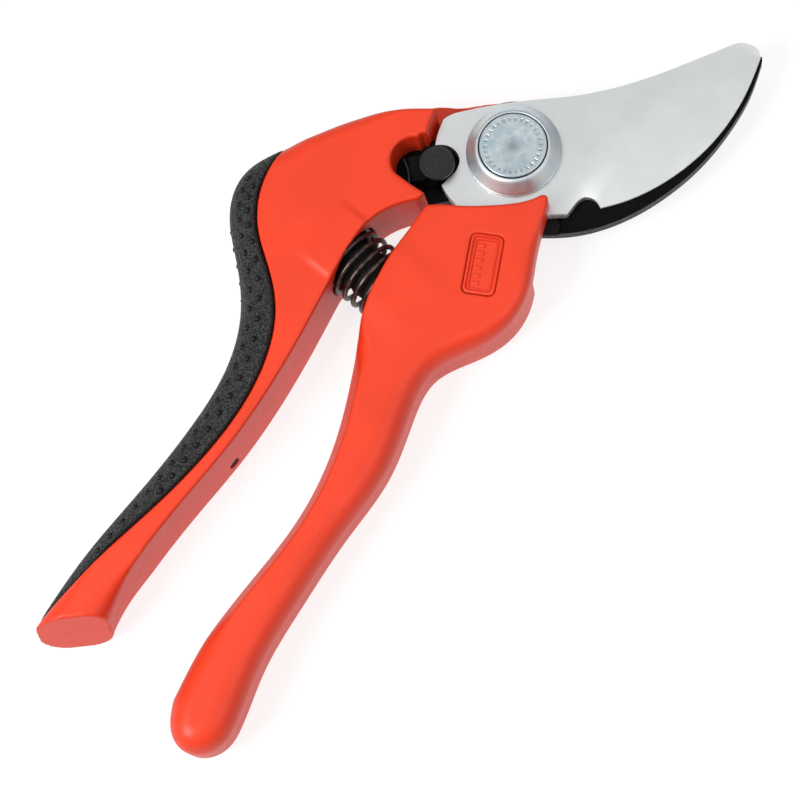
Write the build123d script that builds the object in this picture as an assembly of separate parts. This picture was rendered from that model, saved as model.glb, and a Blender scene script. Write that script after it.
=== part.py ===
from build123d import *
import math
import os

# Bypass pruning shears, lying on their rear face with the jaws closed.
# X runs from the handles to the blade tip, Y points from the lower handle to
# the upper one, Z is the axis of the pivot bolt. The origin is the middle of
# the pivot nut's rear face. All sizes are in millimetres.

# ---- driving dimensions -------------------------------------------------
HANDLE_THICK = 18.5     # both mouldings, rear face at z = 0
SHEAR_Z = 10.0          # plane in which the two blades pass each other
BLADE_THICK = 3.0
COUNTER_THICK = 3.4
ARM_THICK = 3.1         # composite arm behind the counter blade
NUT_THICK = 3.0
SPRING_WASHER_THICK = SHEAR_Z - COUNTER_THICK - ARM_THICK - NUT_THICK

TANG_R = 18.0           # outer radius of the blade's tang about the pivot
RECESS_R = 19.5         # wall of the head's recess that the tang turns in
SWEEP_R = 20.8          # the lower moulding's rear half stays outside this
EYE_R = 14.5            # eye of the composite arm
COUNTER_EYE_R = 13.4
LEVEL_GAP = 0.3         # play between parts that pass over each other
SEAT_DEEP = 1.3         # seat for the stop in the counter blade's heel
STOP_THICK = 0.6

BUSH_R = 4.0
BORE_PLAY = 0.05
SHANK_R = 2.9
COLLAR_R = 10.8
COLLAR_TOP = 16.8
HEAD_R = 7.6
HEAD_TOP = 17.0
HEAD_SEAT = 14.6
FRICTION_WASHER = 0.25
NUT_AF = 10.0

LOCK_ANGLE = 144.1      # direction from the pivot to the lock button
LOCK_R = 17.4           # distance from the pivot to the button's centre
LOCK_TRAVEL = 2.2       # towards the pivot, into the tang's notch
OPEN_ANGLE = 38.0       # how far the lower handle opens
BUTTON_R = 4.0
BUTTON_TOP = 15.6
DOG_HALF = 3.8
DOG_INNER = 18.5        # inner end of the dog, just outside the tang
DOG_THICK = 1.3
LOCK_PIN_R = 1.5
LOCK_PIN_AT = 22.0
LOCK_PLAY = 0.3

SPRING_R = 8.2
SPRING_WIRE = 1.2
CUP_R = 8.45
BUFFER_R = 5.7
SPRING_TOP = (-43.0, 15.5)
SPRING_FOOT = (-41.0, -8.0)
MID_Z = HANDLE_THICK / 2

OUTER_FILLET = 6.0
INNER_FILLET = 0.9
LOWER_FILLET = 3.0

os.makedirs("parts", exist_ok=True)


def polar(radius, degrees):
    """Point at a radius and angle about the pivot."""
    turn = math.radians(degrees)
    return radius * math.cos(turn), radius * math.sin(turn)


def slab(face, low, high):
    """Extrude a face drawn at z = 0 between two levels."""
    return Pos(0, 0, low) * extrude(face, high - low)


def disc(radius, low, high, centre=(0, 0)):
    """Upright cylinder between two levels."""
    return slab(Pos(*centre) * Circle(radius), low, high)


def ring(outer, inner, low, high, centre=(0, 0)):
    """Upright tube between two levels."""
    return disc(outer, low, high, centre) - disc(inner, low - 1, high + 1, centre)


def closed(*runs):
    """Face inside a closed run of curves."""
    return make_face([edge for run in runs for edge in run.edges()])


def write(node, solid):
    """Name the solid and write its STEP file."""
    solid.label = node
    export_step(solid, f"parts/{node}.step")


# ---- upper handle: outline of grip and head, split from its soft pad ------
HEAD_FRONT = polar(RECESS_R, 106)
HEAD_TIP = polar(RECESS_R, 163)
PAD_START = (-35.0, 38.3)
PAD_END = (-149.5, -0.4)


def upper_profile():
    """Whole grip and head, pad included, up to the recess round the pivot."""
    head_top = Spline(HEAD_FRONT, (-16.8, 29.6), (-25.5, 34.2), PAD_START)
    back = Spline(
        PAD_START, (-40.7, 40.8), (-47, 41.1), (-54.3, 37.1), (-61, 28), (-70, 17.3),
        (-80, 11.3), (-95, 7.3), (-113, 5.0), (-131, 3.3), PAD_END,
    )
    butt = Polyline(PAD_END, (-151.6, -1.8), (-151, -3.4), (-140.5, -9.4), (-137.4, -9.3))
    palm = Spline(
        (-137.4, -9.3), (-122, -6.3), (-106, -4.6), (-92, -3.2), (-77, -0.4),
        (-62, 3.7), (-50, 7.5), (-41, 10), (-33, 10.8), (-27.5, 9.0), (-23.6, 6.6),
    )
    lip = Line((-23.6, 6.6), HEAD_TIP)
    recess = ThreePointArc(HEAD_TIP, polar(RECESS_R, 134), HEAD_FRONT)
    return closed(head_top, back, butt, palm, lip, recess)


def pad_region():
    """Outer side of the grip, where the soft pad lies."""
    seam = Spline(
        PAD_START, (-46.5, 34.0), (-53, 28), (-57.6, 19.9), (-63, 12), (-71.3, 5.7),
        (-83, 1.2), (-96, -0.9), (-110, -1.3), (-126, -0.6), PAD_END,
    )
    outside = Polyline(PAD_END, (-149.5, 60), (-35, 60), PAD_START)
    return closed(seam, outside)


def rounded(solid, lengths, radius):
    """Round the face edges of a slab whose lengths lie in the given span."""
    low, high = lengths
    edges = [e for e in solid.edges()
             if abs(e.center().Z - MID_Z) > MID_Z - 0.01 and low < e.length < high]
    return fillet(edges, radius)


def upper_blank():
    """Grip and head at full thickness, with its long edges rounded."""
    blank = slab(upper_profile(), 0, HANDLE_THICK)
    head_edges = [e for e in blank.edges() if 25 < e.length < 45 and (e @ 0.5).Y > 20]
    back_edges = [e for e in blank.edges() if e.length > 120]
    blank = fillet(head_edges + back_edges, OUTER_FILLET)
    return rounded(blank, (110, 120), INNER_FILLET)


def counter_tang(play=0.0):
    """Strip of the counter blade that is held in the upper handle."""
    width = 15.0 + 2 * play
    length = 37.0 + play
    strip = Pos(length / 2, 0) * RectangleRounded(length, width, 3)
    return Rot(0, 0, LOCK_ANGLE) * strip


def lock_slot(half_width, inner, outer):
    """Radial slot for the lock's rivet."""
    mid = (inner + outer) / 2
    slot = Pos(mid, 0) * SlotCenterToCenter(outer - inner, 2 * half_width)
    return Rot(0, 0, LOCK_ANGLE) * slot


def lock_pocket():
    """Open pocket in the head's front, round the lock."""
    corner = Polyline(
        (-22.7, 14), (-22.2, 10.5), (-21.3, 5.2), (-16, 2), (-8, 12), (-12.2, 17.6), (-22.7, 14),
    )
    return closed(corner) + Pos(-17.4, 13.9) * Circle(5.3)


def spring_axis():
    """Plane at the spring's top end, its normal towards the foot."""
    start = Vector(*SPRING_TOP, MID_Z)
    towards = Vector(*SPRING_FOOT, MID_Z) - start
    return Plane(origin=start, z_dir=towards.normalized()), towards.length


def spring_bar(radius, begin, finish):
    """Cylinder on the spring's axis, measured from its top end."""
    plane, _ = spring_axis()
    return Plane(origin=plane.origin + plane.z_dir * begin, z_dir=plane.z_dir) * Pos(
        0, 0, (finish - begin) / 2) * Cylinder(radius, finish - begin)


RIVET_R = 1.8
COUNTER_RIVETS = [polar(28.5, LOCK_ANGLE + 11), polar(33, LOCK_ANGLE - 6)]
BLADE_RIVETS = [(-25.5, -8.5), (-30.5, -16)]
PIN_SLOT_IN = LOCK_PIN_AT - LOCK_TRAVEL
REAR_BUTTON_R = 3.2


def make_upper():
    """Upper handle moulding and the pad along its back."""
    blank = upper_blank()
    region = slab(pad_region(), -1, HANDLE_THICK + 1)
    pad = blank & region
    core = blank - region
    core -= slab(lock_pocket(), SHEAR_Z, HANDLE_THICK + 1)
    low = SHEAR_Z - COUNTER_THICK
    core -= slab(counter_tang(), low, SHEAR_Z)
    core -= spring_bar(CUP_R, 0, 30)
    arm_low = low - ARM_THICK
    web = closed(Polyline((-2.9, 22.9), (0.7, 18.7), (7.3, 13.2), (0, 0), polar(EYE_R, 215.2),
                          (-19, 5.4), (-24, 14), (-14, 22), (-9, 24.6), (-2.9, 22.9)))
    core += slab(web + Circle(EYE_R), arm_low, low)
    core -= disc(BUSH_R, -1, HANDLE_THICK)
    core -= slab(lock_slot(LOCK_PIN_R + LOCK_PLAY, PIN_SLOT_IN, LOCK_PIN_AT), -1, SHEAR_Z)
    core -= slab(lock_slot(REAR_BUTTON_R + LOCK_PLAY, PIN_SLOT_IN, LOCK_PIN_AT), -1, 3.2)
    for centre in COUNTER_RIVETS:
        core -= disc(RIVET_R, 2.5, 16.5, centre)
    return core, pad


# ---- lower handle ---------------------------------------------------------
NOSE_R = 13.9           # concave top edge, round the pivot's collar


def lower_profile():
    """Whole lower handle, with the nose that clamps the blade."""
    top = Spline((-22.4, 3.7), (-20.8, 3.2), (-18.7, 0), polar(NOSE_R + 1.6, 199),
                 polar(NOSE_R, 222), polar(NOSE_R - 0.3, 246), (-4.2, -12.9))
    nose = Spline((-4.2, -12.9), (-3.5, -13.9), (-4.6, -15.3))
    body = Spline((-4.6, -15.3), (-14.1, -20.8), (-22, -26), (-30, -28), (-39, -26.2),
                  (-49, -23), (-59, -25.9), (-72, -31.4), (-88, -34.2), (-106, -37.9),
                  (-121, -41.9), (-132.6, -46.9), (-138.5, -48.2), (-143.8, -45.6),
                  (-145.2, -42), (-143.6, -37.5), (-139.2, -33.8), (-127, -29.8),
                  (-111, -27.2), (-94, -25), (-77.5, -19.5), (-65.7, -12.8), (-55.3, -5.4),
                  (-46.9, -0.8), (-35.2, 2.9), (-24.6, 4.6))
    corner = ThreePointArc((-24.6, 4.6), (-23.2, 4.6), (-22.4, 3.7))
    return closed(top, nose, body, corner)


def blade_profile():
    """Cutting blade with its tang: back, rounded tip, edge, sap notch, tang."""
    back = Spline((2.3, 13.0), (11.3, 6.0), (23.2, -4.4), (39.6, -13.6), (51.5, -17.8))
    tip = Spline((51.5, -17.8), (53.5, -18.8), (55.2, -21.5), (54.3, -24.5))
    edge = Spline((54.3, -24.5), (47.9, -27.2), (42.9, -28.8), (34.8, -30.3), (28.1, -30.5),
                  (16.9, -28.8), (7.8, -25.2), (4, -22.8))
    notch = ThreePointArc((4, -22.8), (4.1, -20), (1.1, -18.5))
    heel = Polyline((1.1, -18.5), (-2.6, -19.0), (-8, -13.8), (-22, -20), (-32, -21), (-36.5, -16.5),
                    (-32, -10), (-24, -1), polar(TANG_R, 177))
    rim = ThreePointArc(polar(TANG_R, 177), polar(TANG_R, 168), (-16.8, 6.45))
    bite = Line((-16.8, 6.45), (-12.2, 6.45))
    lock_notch = ThreePointArc((-12.2, 6.45), (-8.9, 10.2), polar(TANG_R, 128))
    crown = ThreePointArc(polar(TANG_R, 128), polar(TANG_R, 117), polar(TANG_R, 106))
    shoulder = Line(polar(TANG_R, 106), (2.3, 13.0))
    return closed(back, tip, edge, notch, heel, rim, bite, lock_notch, crown, shoulder)


def hook_profile():
    """Counter blade's crescent, the round eye and the tang not included."""
    outside = Spline((-13.6, -9.2), (-9.4, -17.0), (-3, -23.1), (5.1, -27.7), (15, -30.7),
                     (26.8, -31.9), (38, -30.8), (46.8, -28.5), (54.2, -25.1))
    tip = ThreePointArc((54.2, -25.1), (54.9, -24.2), (54.0, -23.6))
    inside = Spline((54.0, -23.6), (44, -24.2), (32, -24.3), (22, -21.4), (14.5, -15.2), (10.6, -8.2))
    shut = Polyline((10.6, -8.2), (0, 0), (-13.6, -9.2))
    return closed(outside, tip, inside, shut)


def make_lower():
    """Lower moulding: cut back under its nose so that it clears the hook."""
    blank = slab(lower_profile(), 0, HANDLE_THICK)
    body = rounded(blank, (200, 400), LOWER_FILLET)
    under_nose = closed(Polyline((-18.6, 10), (-18.6, -12), (-17.4, -40), (20, -40), (20, 10),
                                 (-18.6, 10)))
    rear = under_nose + Circle(SWEEP_R)
    body -= slab(rear, -1, SHEAR_Z + LEVEL_GAP)
    body -= slab(blade_profile(), SHEAR_Z, SHEAR_Z + BLADE_THICK)
    _, length = spring_axis()
    body -= spring_bar(CUP_R, 8, length)
    for centre in BLADE_RIVETS:
        body -= disc(RIVET_R, 2.5, 16.5, centre)
    return body


def nose_relief():
    """Shallow groove under the tang that takes the dog when fully open."""
    reach = DOG_INNER - LOCK_TRAVEL - 0.4
    groove = Pos(reach + 5, 0) * Rectangle(10, 2 * DOG_HALF + 1.2)
    return Rot(0, 0, LOCK_ANGLE - OPEN_ANGLE) * groove


def make_blade():
    blade = slab(blade_profile(), SHEAR_Z, SHEAR_Z + BLADE_THICK)
    blade -= disc(BUSH_R + BORE_PLAY, 0, HANDLE_THICK)
    blade -= slab(nose_relief(), SHEAR_Z - 1, SHEAR_Z + DOG_THICK + 0.6)
    for centre in BLADE_RIVETS:
        blade -= disc(RIVET_R, 0, HANDLE_THICK, centre)
    return blade


def heel_seat():
    """Outline of the stop block let into the counter blade's heel."""
    corners = Polyline((-3.4, -16.2), (-4.6, -18.9), (-7.2, -20.2), (-9.2, -17.4), (-10.6, -14.6),
                       (-8, -12.2), (-3.4, -16.2))
    return closed(corners) & (hook_profile() + Circle(COUNTER_EYE_R))


def make_counter():
    low = SHEAR_Z - COUNTER_THICK
    plate = slab(hook_profile() + Circle(COUNTER_EYE_R) + counter_tang(), low, SHEAR_Z)
    plate -= slab(heel_seat(), SHEAR_Z - SEAT_DEEP, SHEAR_Z + 1)
    plate -= disc(BUSH_R, 0, HANDLE_THICK)
    plate -= slab(lock_slot(LOCK_PIN_R + LOCK_PLAY, PIN_SLOT_IN, LOCK_PIN_AT), 0, HANDLE_THICK)
    for centre in COUNTER_RIVETS:
        plate -= disc(RIVET_R, 0, HANDLE_THICK, centre)
    return plate


def rivets(centres):
    """Buried rivets that hold a blade's tang in its moulding."""
    return Compound(children=[disc(RIVET_R, 2.5, 16.5, centre) for centre in centres])


# ---- pivot ------------------------------------------------------------------
def make_collar():
    """Conical collar round the bolt's head, on the friction washer."""
    base = SHEAR_Z + BLADE_THICK + FRICTION_WASHER
    profile = Polyline((BUSH_R + 0.2, base), (COLLAR_R, base), (COLLAR_R, base + 0.7),
                       (8.6, COLLAR_TOP - 0.3), (8.2, COLLAR_TOP), (HEAD_R + 0.2, COLLAR_TOP),
                       (HEAD_R + 0.2, HEAD_SEAT), (BUSH_R + 0.2, HEAD_SEAT), (BUSH_R + 0.2, base))
    face = Plane.XZ * make_face(profile)
    return revolve(face, Axis.Z)


def make_bolt():
    shank = disc(SHANK_R, 0, HEAD_SEAT)
    head = disc(HEAD_R, HEAD_SEAT, HEAD_TOP)
    return shank + head


def make_nut():
    nut = slab(RegularPolygon(NUT_AF / 2, 6, major_radius=False), 0, NUT_THICK)
    return nut - disc(SHANK_R, -1, NUT_THICK + 1)


# ---- lock -------------------------------------------------------------------
def radial(face, low, high):
    """Slab of a face drawn with the lock's radial direction along X."""
    return slab(Rot(0, 0, LOCK_ANGLE) * face, low, high)


def span(inner, outer, half_width):
    """Rectangle between two radii."""
    return Pos((inner + outer) / 2, 0) * Rectangle(outer - inner, 2 * half_width)


SLIDER_LOW = SHEAR_Z + 0.2
SLIDER_TOP = 14.0
SLIDER_STEP = 20.6      # where the dog thickens, past the tang's rim
SLIDER_OUTER = 23.6


def make_slider():
    """Dog, block and tongue under the button, in one moulding."""
    dog = radial(span(DOG_INNER, SLIDER_STEP, DOG_HALF), SLIDER_LOW, SHEAR_Z + DOG_THICK + 0.2)
    block = radial(span(SLIDER_STEP, SLIDER_OUTER, DOG_HALF - 0.8), SLIDER_LOW, SLIDER_TOP)
    tongue = radial(span(LOCK_R - 1, SLIDER_STEP, 2.6), SHEAR_Z + BLADE_THICK + 0.2, SLIDER_TOP)
    slider = dog + block + tongue
    return slider - disc(LOCK_PIN_R, 0, HANDLE_THICK, polar(LOCK_PIN_AT, LOCK_ANGLE))


def make_spring_leaf():
    """Bent leaf behind the slider, which holds it where it is pushed."""
    bow = ThreePointArc((24.8, -3.4), (24.2, 0), (24.8, 3.4))
    strip = Rot(0, 0, LOCK_ANGLE) * trace(bow, 0.45)
    return slab(strip, SHEAR_Z, SHEAR_Z + 2.4)


def make_spring():
    """Main spring between the handles, as its outer sleeve."""
    _, length = spring_axis()
    return spring_bar(SPRING_R, 0, length) - spring_bar(SPRING_R - SPRING_WIRE, -1, length + 1)


core, pad = make_upper()
pin = polar(LOCK_PIN_AT, LOCK_ANGLE)
low_face = SHEAR_Z - COUNTER_THICK - ARM_THICK
top_face = SHEAR_Z + BLADE_THICK

parts = {
    "upper_handle": core,
    "soft_grip_pad": pad,
    "counter_blade": make_counter(),
    "counter_blade_rivets": rivets(COUNTER_RIVETS),
    "closing_stop": slab(heel_seat(), SHEAR_Z - SEAT_DEEP, SHEAR_Z - SEAT_DEEP + STOP_THICK),
    "lower_handle": make_lower(),
    "cutting_blade": make_blade(),
    "cutting_blade_rivets": rivets(BLADE_RIVETS),
    "pivot_bush": ring(BUSH_R, SHANK_R, low_face, top_face),
    "friction_washer": ring(COLLAR_R - 0.6, BUSH_R + 0.2, top_face, top_face + FRICTION_WASHER),
    "pivot_collar": make_collar(),
    "center_bolt": make_bolt(),
    "spring_washer": ring(6.2, SHANK_R, NUT_THICK, low_face),
    "pivot_nut": make_nut(),
    "lock_slider": make_slider(),
    "lock_button": disc(BUTTON_R, SLIDER_TOP, BUTTON_TOP, polar(LOCK_R, LOCK_ANGLE)),
    "lock_rivet": disc(LOCK_PIN_R, 2.4, SLIDER_TOP, pin),
    "lock_rear_washer": disc(REAR_BUTTON_R, 1.0, 2.4, pin),
    "lock_spring": make_spring_leaf(),
    "main_spring": make_spring(),
    "rubber_buffer": spring_bar(BUFFER_R, 0, 15.0),
}
for node, solid in parts.items():
    write(node, solid)
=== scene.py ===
import math

import bmesh
import bpy
import numpy as np
from bpy.props import FloatProperty, FloatVectorProperty, IntProperty, PointerProperty
from bpy.types import Operator, Panel, PropertyGroup
from mathutils import Matrix, Vector
from mathutils.geometry import delaunay_2d_cdt
from mathutils.kdtree import KDTree


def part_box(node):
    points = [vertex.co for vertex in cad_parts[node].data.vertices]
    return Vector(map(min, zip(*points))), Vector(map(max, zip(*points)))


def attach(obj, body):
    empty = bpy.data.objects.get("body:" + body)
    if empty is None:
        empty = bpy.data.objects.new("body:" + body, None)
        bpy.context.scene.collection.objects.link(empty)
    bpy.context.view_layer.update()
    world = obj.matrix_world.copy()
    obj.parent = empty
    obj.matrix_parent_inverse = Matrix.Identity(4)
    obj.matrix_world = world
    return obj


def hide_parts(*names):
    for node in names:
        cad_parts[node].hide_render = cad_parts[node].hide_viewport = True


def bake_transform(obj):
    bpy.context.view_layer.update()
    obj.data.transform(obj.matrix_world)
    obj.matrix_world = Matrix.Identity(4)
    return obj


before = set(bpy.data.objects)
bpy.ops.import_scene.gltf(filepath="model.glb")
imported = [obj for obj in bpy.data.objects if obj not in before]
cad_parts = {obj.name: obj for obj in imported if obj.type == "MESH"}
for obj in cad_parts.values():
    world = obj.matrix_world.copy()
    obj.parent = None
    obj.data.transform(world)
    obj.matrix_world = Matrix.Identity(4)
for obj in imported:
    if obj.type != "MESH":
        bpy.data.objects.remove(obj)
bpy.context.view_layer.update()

bl_info = {
    "name": "Bypass pruning shears",
    "version": (1, 0, 0),
    "blender": (4, 5, 0),
    "location": "View3D > Sidebar > Shears",
    "description": "Builds sprung bypass shears, piece by piece, round their packed frame",
    "category": "Object",
}

MM = 0.001

# Levels and centres taken from the frame, in millimetres. Shapes below are drawn in millimetres
# too, in the frame's own axes, and become metres when a mesh is made.


def levels(node):
    """Lowest and highest level of a CAD node."""
    low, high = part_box(node)
    return low.z / MM, high.z / MM


def middle(node):
    """Centre of a CAD node's box, seen from the front."""
    low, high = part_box(node)
    return (low.x + high.x) / 2 / MM, (low.y + high.y) / 2 / MM


_, THICK = levels("upper_handle")
MID = THICK / 2
SHEAR_Z, BLADE_TOP = levels("cutting_blade")
COUNTER_LOW, COUNTER_TOP = levels("counter_blade")
COLLAR_BASE, COLLAR_TOP = levels("pivot_collar")
_, BOLT_TOP = levels("center_bolt")
_, NUT_TOP = levels("pivot_nut")
BUTTON_LOW, BUTTON_TOP = levels("lock_button")
BUTTON = middle("lock_button")
LOCK_ANGLE = math.degrees(math.atan2(BUTTON[1], BUTTON[0]))
REAR_WASHER = middle("lock_rear_washer")

RECESS_R = 19.5  # wall of the head's recess about the pivot
SWEEP_R = 20.8  # the lower handle's rear half stays outside this
EYE_R = 14.5  # eye of the composite arm
BORE_R = 4.05  # bore of both blades about the bush
BOLT_R = 2.9  # shank of the bolt
HEAD_SEAT = 14.6  # underside of the bolt's head
SLOT_IN, SLOT_OUT = 19.8, 22.0  # ends of the lock's slot, from the pivot
DRAIN = Vector((-93.7, -3.4, 5.0))  # small hole in the palm side of the upper handle
SPRING_START = Vector((-43.0, 15.5, MID))
SPRING_END = Vector((-41.0, -8.0, MID))
CUP_R = 8.35
SHELL = 8.6  # half thickness of the mouldings away from the spring's cups
SWELL = 0.6  # how far the faces rise over the cups


# ---- flat curves ---------------------------------------------------------------------


def polar(radius, degrees, centre=(0, 0)):
    """Point at a radius and angle about a centre, the pivot unless another is given."""
    turn = math.radians(degrees)
    return centre[0] + radius * math.cos(turn), centre[1] + radius * math.sin(turn)


def arc(radius, start, finish, centre=(0, 0), spacing=0.35):
    """Samples along an arc between two angles."""
    count = max(3, int(abs(math.radians(finish - start)) * radius / spacing) + 1)
    return np.array([polar(radius, a, centre) for a in np.linspace(start, finish, count)])


def spline(*points, spacing=0.35):
    """Samples along the natural cubic spline through the points."""
    knots = np.array(points, float)
    steps = np.hypot(*np.diff(knots, axis=0).T)
    n = len(knots)
    matrix = np.eye(n)
    right = np.zeros((n, 2))
    for i in range(1, n - 1):
        matrix[i, i - 1:i + 2] = steps[i - 1], 2 * (steps[i - 1] + steps[i]), steps[i]
        ahead = (knots[i + 1] - knots[i]) / steps[i]
        right[i] = 6 * (ahead - (knots[i] - knots[i - 1]) / steps[i - 1])
    bend = np.linalg.solve(matrix, right)
    samples = []
    for i, h in enumerate(steps):
        count = max(2, int(h / spacing))
        b = np.linspace(0, 1, count, endpoint=i == n - 2)[:, None]
        a = 1 - b
        samples.append(a * knots[i] + b * knots[i + 1]
                       + ((a**3 - a) * bend[i] + (b**3 - b) * bend[i + 1]) * h * h / 6)
    return np.concatenate(samples)


def line(*points, spacing=0.35):
    """Samples along straight runs between the points."""
    runs = []
    for a, b in zip(points, points[1:]):
        a, b = np.array(a, float), np.array(b, float)
        count = max(2, int(np.linalg.norm(b - a) / spacing) + 1)
        runs.append(a + (b - a) * np.linspace(0, 1, count)[:, None])
    return np.concatenate(runs)


def joined(*runs):
    """One run of samples, with the points that two runs share kept once."""
    points = np.concatenate(runs)
    keep = np.ones(len(points), bool)
    keep[1:] = np.hypot(*np.diff(points, axis=0).T) > 0.02
    return points[keep]


def outline(*runs):
    """Closed run of samples, anticlockwise."""
    points = joined(*runs)
    if np.hypot(*(points[0] - points[-1])) < 0.02:
        points = points[:-1]
    x, y = points.T
    area = np.sum(x * np.roll(y, -1) - np.roll(x, -1) * y) / 2
    return points if area > 0 else points[::-1]


class PlanField:
    """Numbers on a flat grid, read between its points by cubic interpolation."""

    def __init__(self, low, pitch, values):
        self.low, self.pitch, self.values = low, pitch, values

    @staticmethod
    def _weights(t):
        return (
            (-t + 2 * t**2 - t**3) / 2,
            (2 - 5 * t**2 + 3 * t**3) / 2,
            (t + 4 * t**2 - 3 * t**3) / 2,
            (-t**2 + t**3) / 2,
        )

    def __call__(self, x, y):
        shape = self.values.shape
        gx = np.clip((x - self.low[0]) / self.pitch, 1, shape[0] - 2.001)
        gy = np.clip((y - self.low[1]) / self.pitch, 1, shape[1] - 2.001)
        ix, iy = gx.astype(int), gy.astype(int)
        total = 0
        for a, wx in enumerate(self._weights(gx - ix)):
            for b, wy in enumerate(self._weights(gy - iy)):
                total = total + wx * wy * self.values[ix + a - 1, iy + b - 1]
        return total


FIELD_MARGIN = 6.0
FIELD_PITCH = 0.5


def edge_distance(points, samples, closed):
    """Distance from each point to the run of samples."""
    tree = KDTree(len(samples))
    for i, (x, y) in enumerate(samples):
        tree.insert((x, y, 0), i)
    tree.balance()
    near = np.array([tree.find((x, y, 0))[1] for x, y in points])
    best = np.full(len(points), np.inf)
    last = len(samples) - 1
    for step in (-1, 1):
        other = (near + step) % len(samples) if closed else np.clip(near + step, 0, last)
        a, b = samples[near], samples[other]
        run = b - a
        length = np.maximum((run**2).sum(1), 1e-12)
        t = np.clip(((points - a) * run).sum(1) / length, 0, 1)
        best = np.minimum(best, np.hypot(*(points - a - run * t[:, None]).T))
    return best


def inside_rows(xs, ys, samples):
    """Which grid points lie inside a closed run, by crossings along each row."""
    x0, y0 = samples.T
    x1, y1 = np.roll(samples, -1, 0).T
    inside = np.zeros((len(xs), len(ys)), bool)
    for j, y in enumerate(ys):
        cut = (y0 > y) != (y1 > y)
        crossings = x0[cut] + (y - y0[cut]) * (x1[cut] - x0[cut]) / (y1[cut] - y0[cut])
        inside[:, j] = (crossings[None, :] > xs[:, None]).sum(1) % 2 == 1
    return inside


def plan_distance(samples, around=None, closed=True):
    """Field of the distance to a run, below zero inside a closed one."""
    around = samples if around is None else around
    low = around.min(0) - FIELD_MARGIN
    size = around.max(0) + FIELD_MARGIN - low
    xs, ys = (low[k] + FIELD_PITCH * np.arange(int(size[k] / FIELD_PITCH) + 2) for k in (0, 1))
    grid = np.stack(np.meshgrid(xs, ys, indexing="ij"), -1)
    values = edge_distance(grid.reshape(-1, 2), samples, closed).reshape(grid.shape[:2])
    if closed:
        values = np.where(inside_rows(xs, ys + 1e-7, samples), -values, values)
    return PlanField(low, FIELD_PITCH, values)


# ---- solids as fields: below zero inside ---------------------------------------------


def smooth_step(low, high, value):
    """0 at low and 1 at high, eased at both; low may be the larger."""
    t = np.clip((value - low) / (high - low), 0, 1)
    return t * t * (3 - 2 * t)


def cut_by(a, b, soft):
    """Where both are inside, with a rounded edge."""
    h = np.maximum(soft - np.abs(a - b), 0) / soft
    return np.maximum(a, b) + h * h * soft / 4


def joined_to(a, b, soft):
    """Where either is inside, with a filleted joint."""
    return -cut_by(-a, -b, soft)


def rounded_slab(edge, height, half, radius):
    """Upright slab about a level, its rims rounded; all but height may vary over the plan."""
    q_edge = edge + radius
    q_face = np.abs(height) - half + radius
    outside = np.hypot(np.maximum(q_edge, 0), np.maximum(q_face, 0))
    return outside + np.minimum(np.maximum(q_edge, q_face), 0) - radius


def capsule(x, y, z, start, finish, radius):
    """Round bar between two points."""
    axis = finish - start
    dx, dy, dz = x - start.x, y - start.y, z - start.z
    t = np.clip((dx * axis.x + dy * axis.y + dz * axis.z) / axis.length_squared, 0, 1)
    return np.sqrt((dx - t * axis.x)**2 + (dy - t * axis.y)**2 + (dz - t * axis.z)**2) - radius


def bar(x, y, z, start, finish, radius):
    """Round bar between two points, with flat ends."""
    axis = finish - start
    length = axis.length
    n = axis / length
    dx, dy, dz = x - start.x, y - start.y, z - start.z
    along = dx * n.x + dy * n.y + dz * n.z
    off = np.sqrt((dx - along * n.x)**2 + (dy - along * n.y)**2 + (dz - along * n.z)**2)
    return np.maximum(off - radius, np.abs(along - length / 2) - length / 2)


def surface_net(field, low, high, pitch):
    """Vertices and quads of a field's zero surface inside a box."""
    axes = [low[k] + pitch * np.arange(int((high[k] - low[k]) / pitch) + 2) for k in range(3)]
    shape = tuple(len(a) for a in axes)
    value = field(axes[0][:, None, None], axes[1][None, :, None], axes[2][None, None, :])
    value = np.broadcast_to(value, shape)
    inside = value < 0
    cells = tuple(n - 1 for n in shape)
    count = np.zeros(cells, np.int8)
    for i in (0, 1):
        for j in (0, 1):
            for k in (0, 1):
                count += inside[i:i + cells[0], j:j + cells[1], k:k + cells[2]]
    mixed = (count > 0) & (count < 8)
    number = np.full(cells, -1)
    number[mixed] = np.arange(mixed.sum())
    corner = np.argwhere(mixed)
    total = np.zeros((len(corner), 3))
    hits = np.zeros(len(corner))
    for axis in range(3):
        step = np.eye(3, dtype=int)[axis]
        u, v = [k for k in range(3) if k != axis]
        for du in (0, 1):
            for dv in (0, 1):
                offset = np.zeros(3, int)
                offset[u], offset[v] = du, dv
                a = value[tuple((corner + offset).T)]
                b = value[tuple((corner + offset + step).T)]
                crossed = (a < 0) != (b < 0)
                t = np.where(crossed, a / np.where(crossed, a - b, 1), 0)
                total[crossed] += (offset + t[:, None] * step)[crossed]
                hits[crossed] += 1
    points = np.array(low) + pitch * (corner + total / hits[:, None])
    quads = []
    for axis in range(3):
        u, v = (axis + 1) % 3, (axis + 2) % 3
        first = [slice(None)] * 3
        second = [slice(None)] * 3
        first[axis], second[axis] = slice(0, -1), slice(1, None)
        for k in (u, v):
            first[k] = second[k] = slice(1, -1)
        a, b = inside[tuple(first)], inside[tuple(second)]
        for mask, order in ((a & ~b, (0, 1, 2, 3)), (b & ~a, (3, 2, 1, 0))):
            at = np.argwhere(mask)
            at[:, u] += 1
            at[:, v] += 1
            ring = []
            for du, dv in ((1, 1), (0, 1), (0, 0), (1, 0)):
                cell = at.copy()
                cell[:, u] -= du
                cell[:, v] -= dv
                ring.append(number[tuple(cell.T)])
            quads.append(np.stack([ring[k] for k in order], 1))
    return points, np.concatenate(quads)


SLOPE_STEP = 0.04


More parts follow.
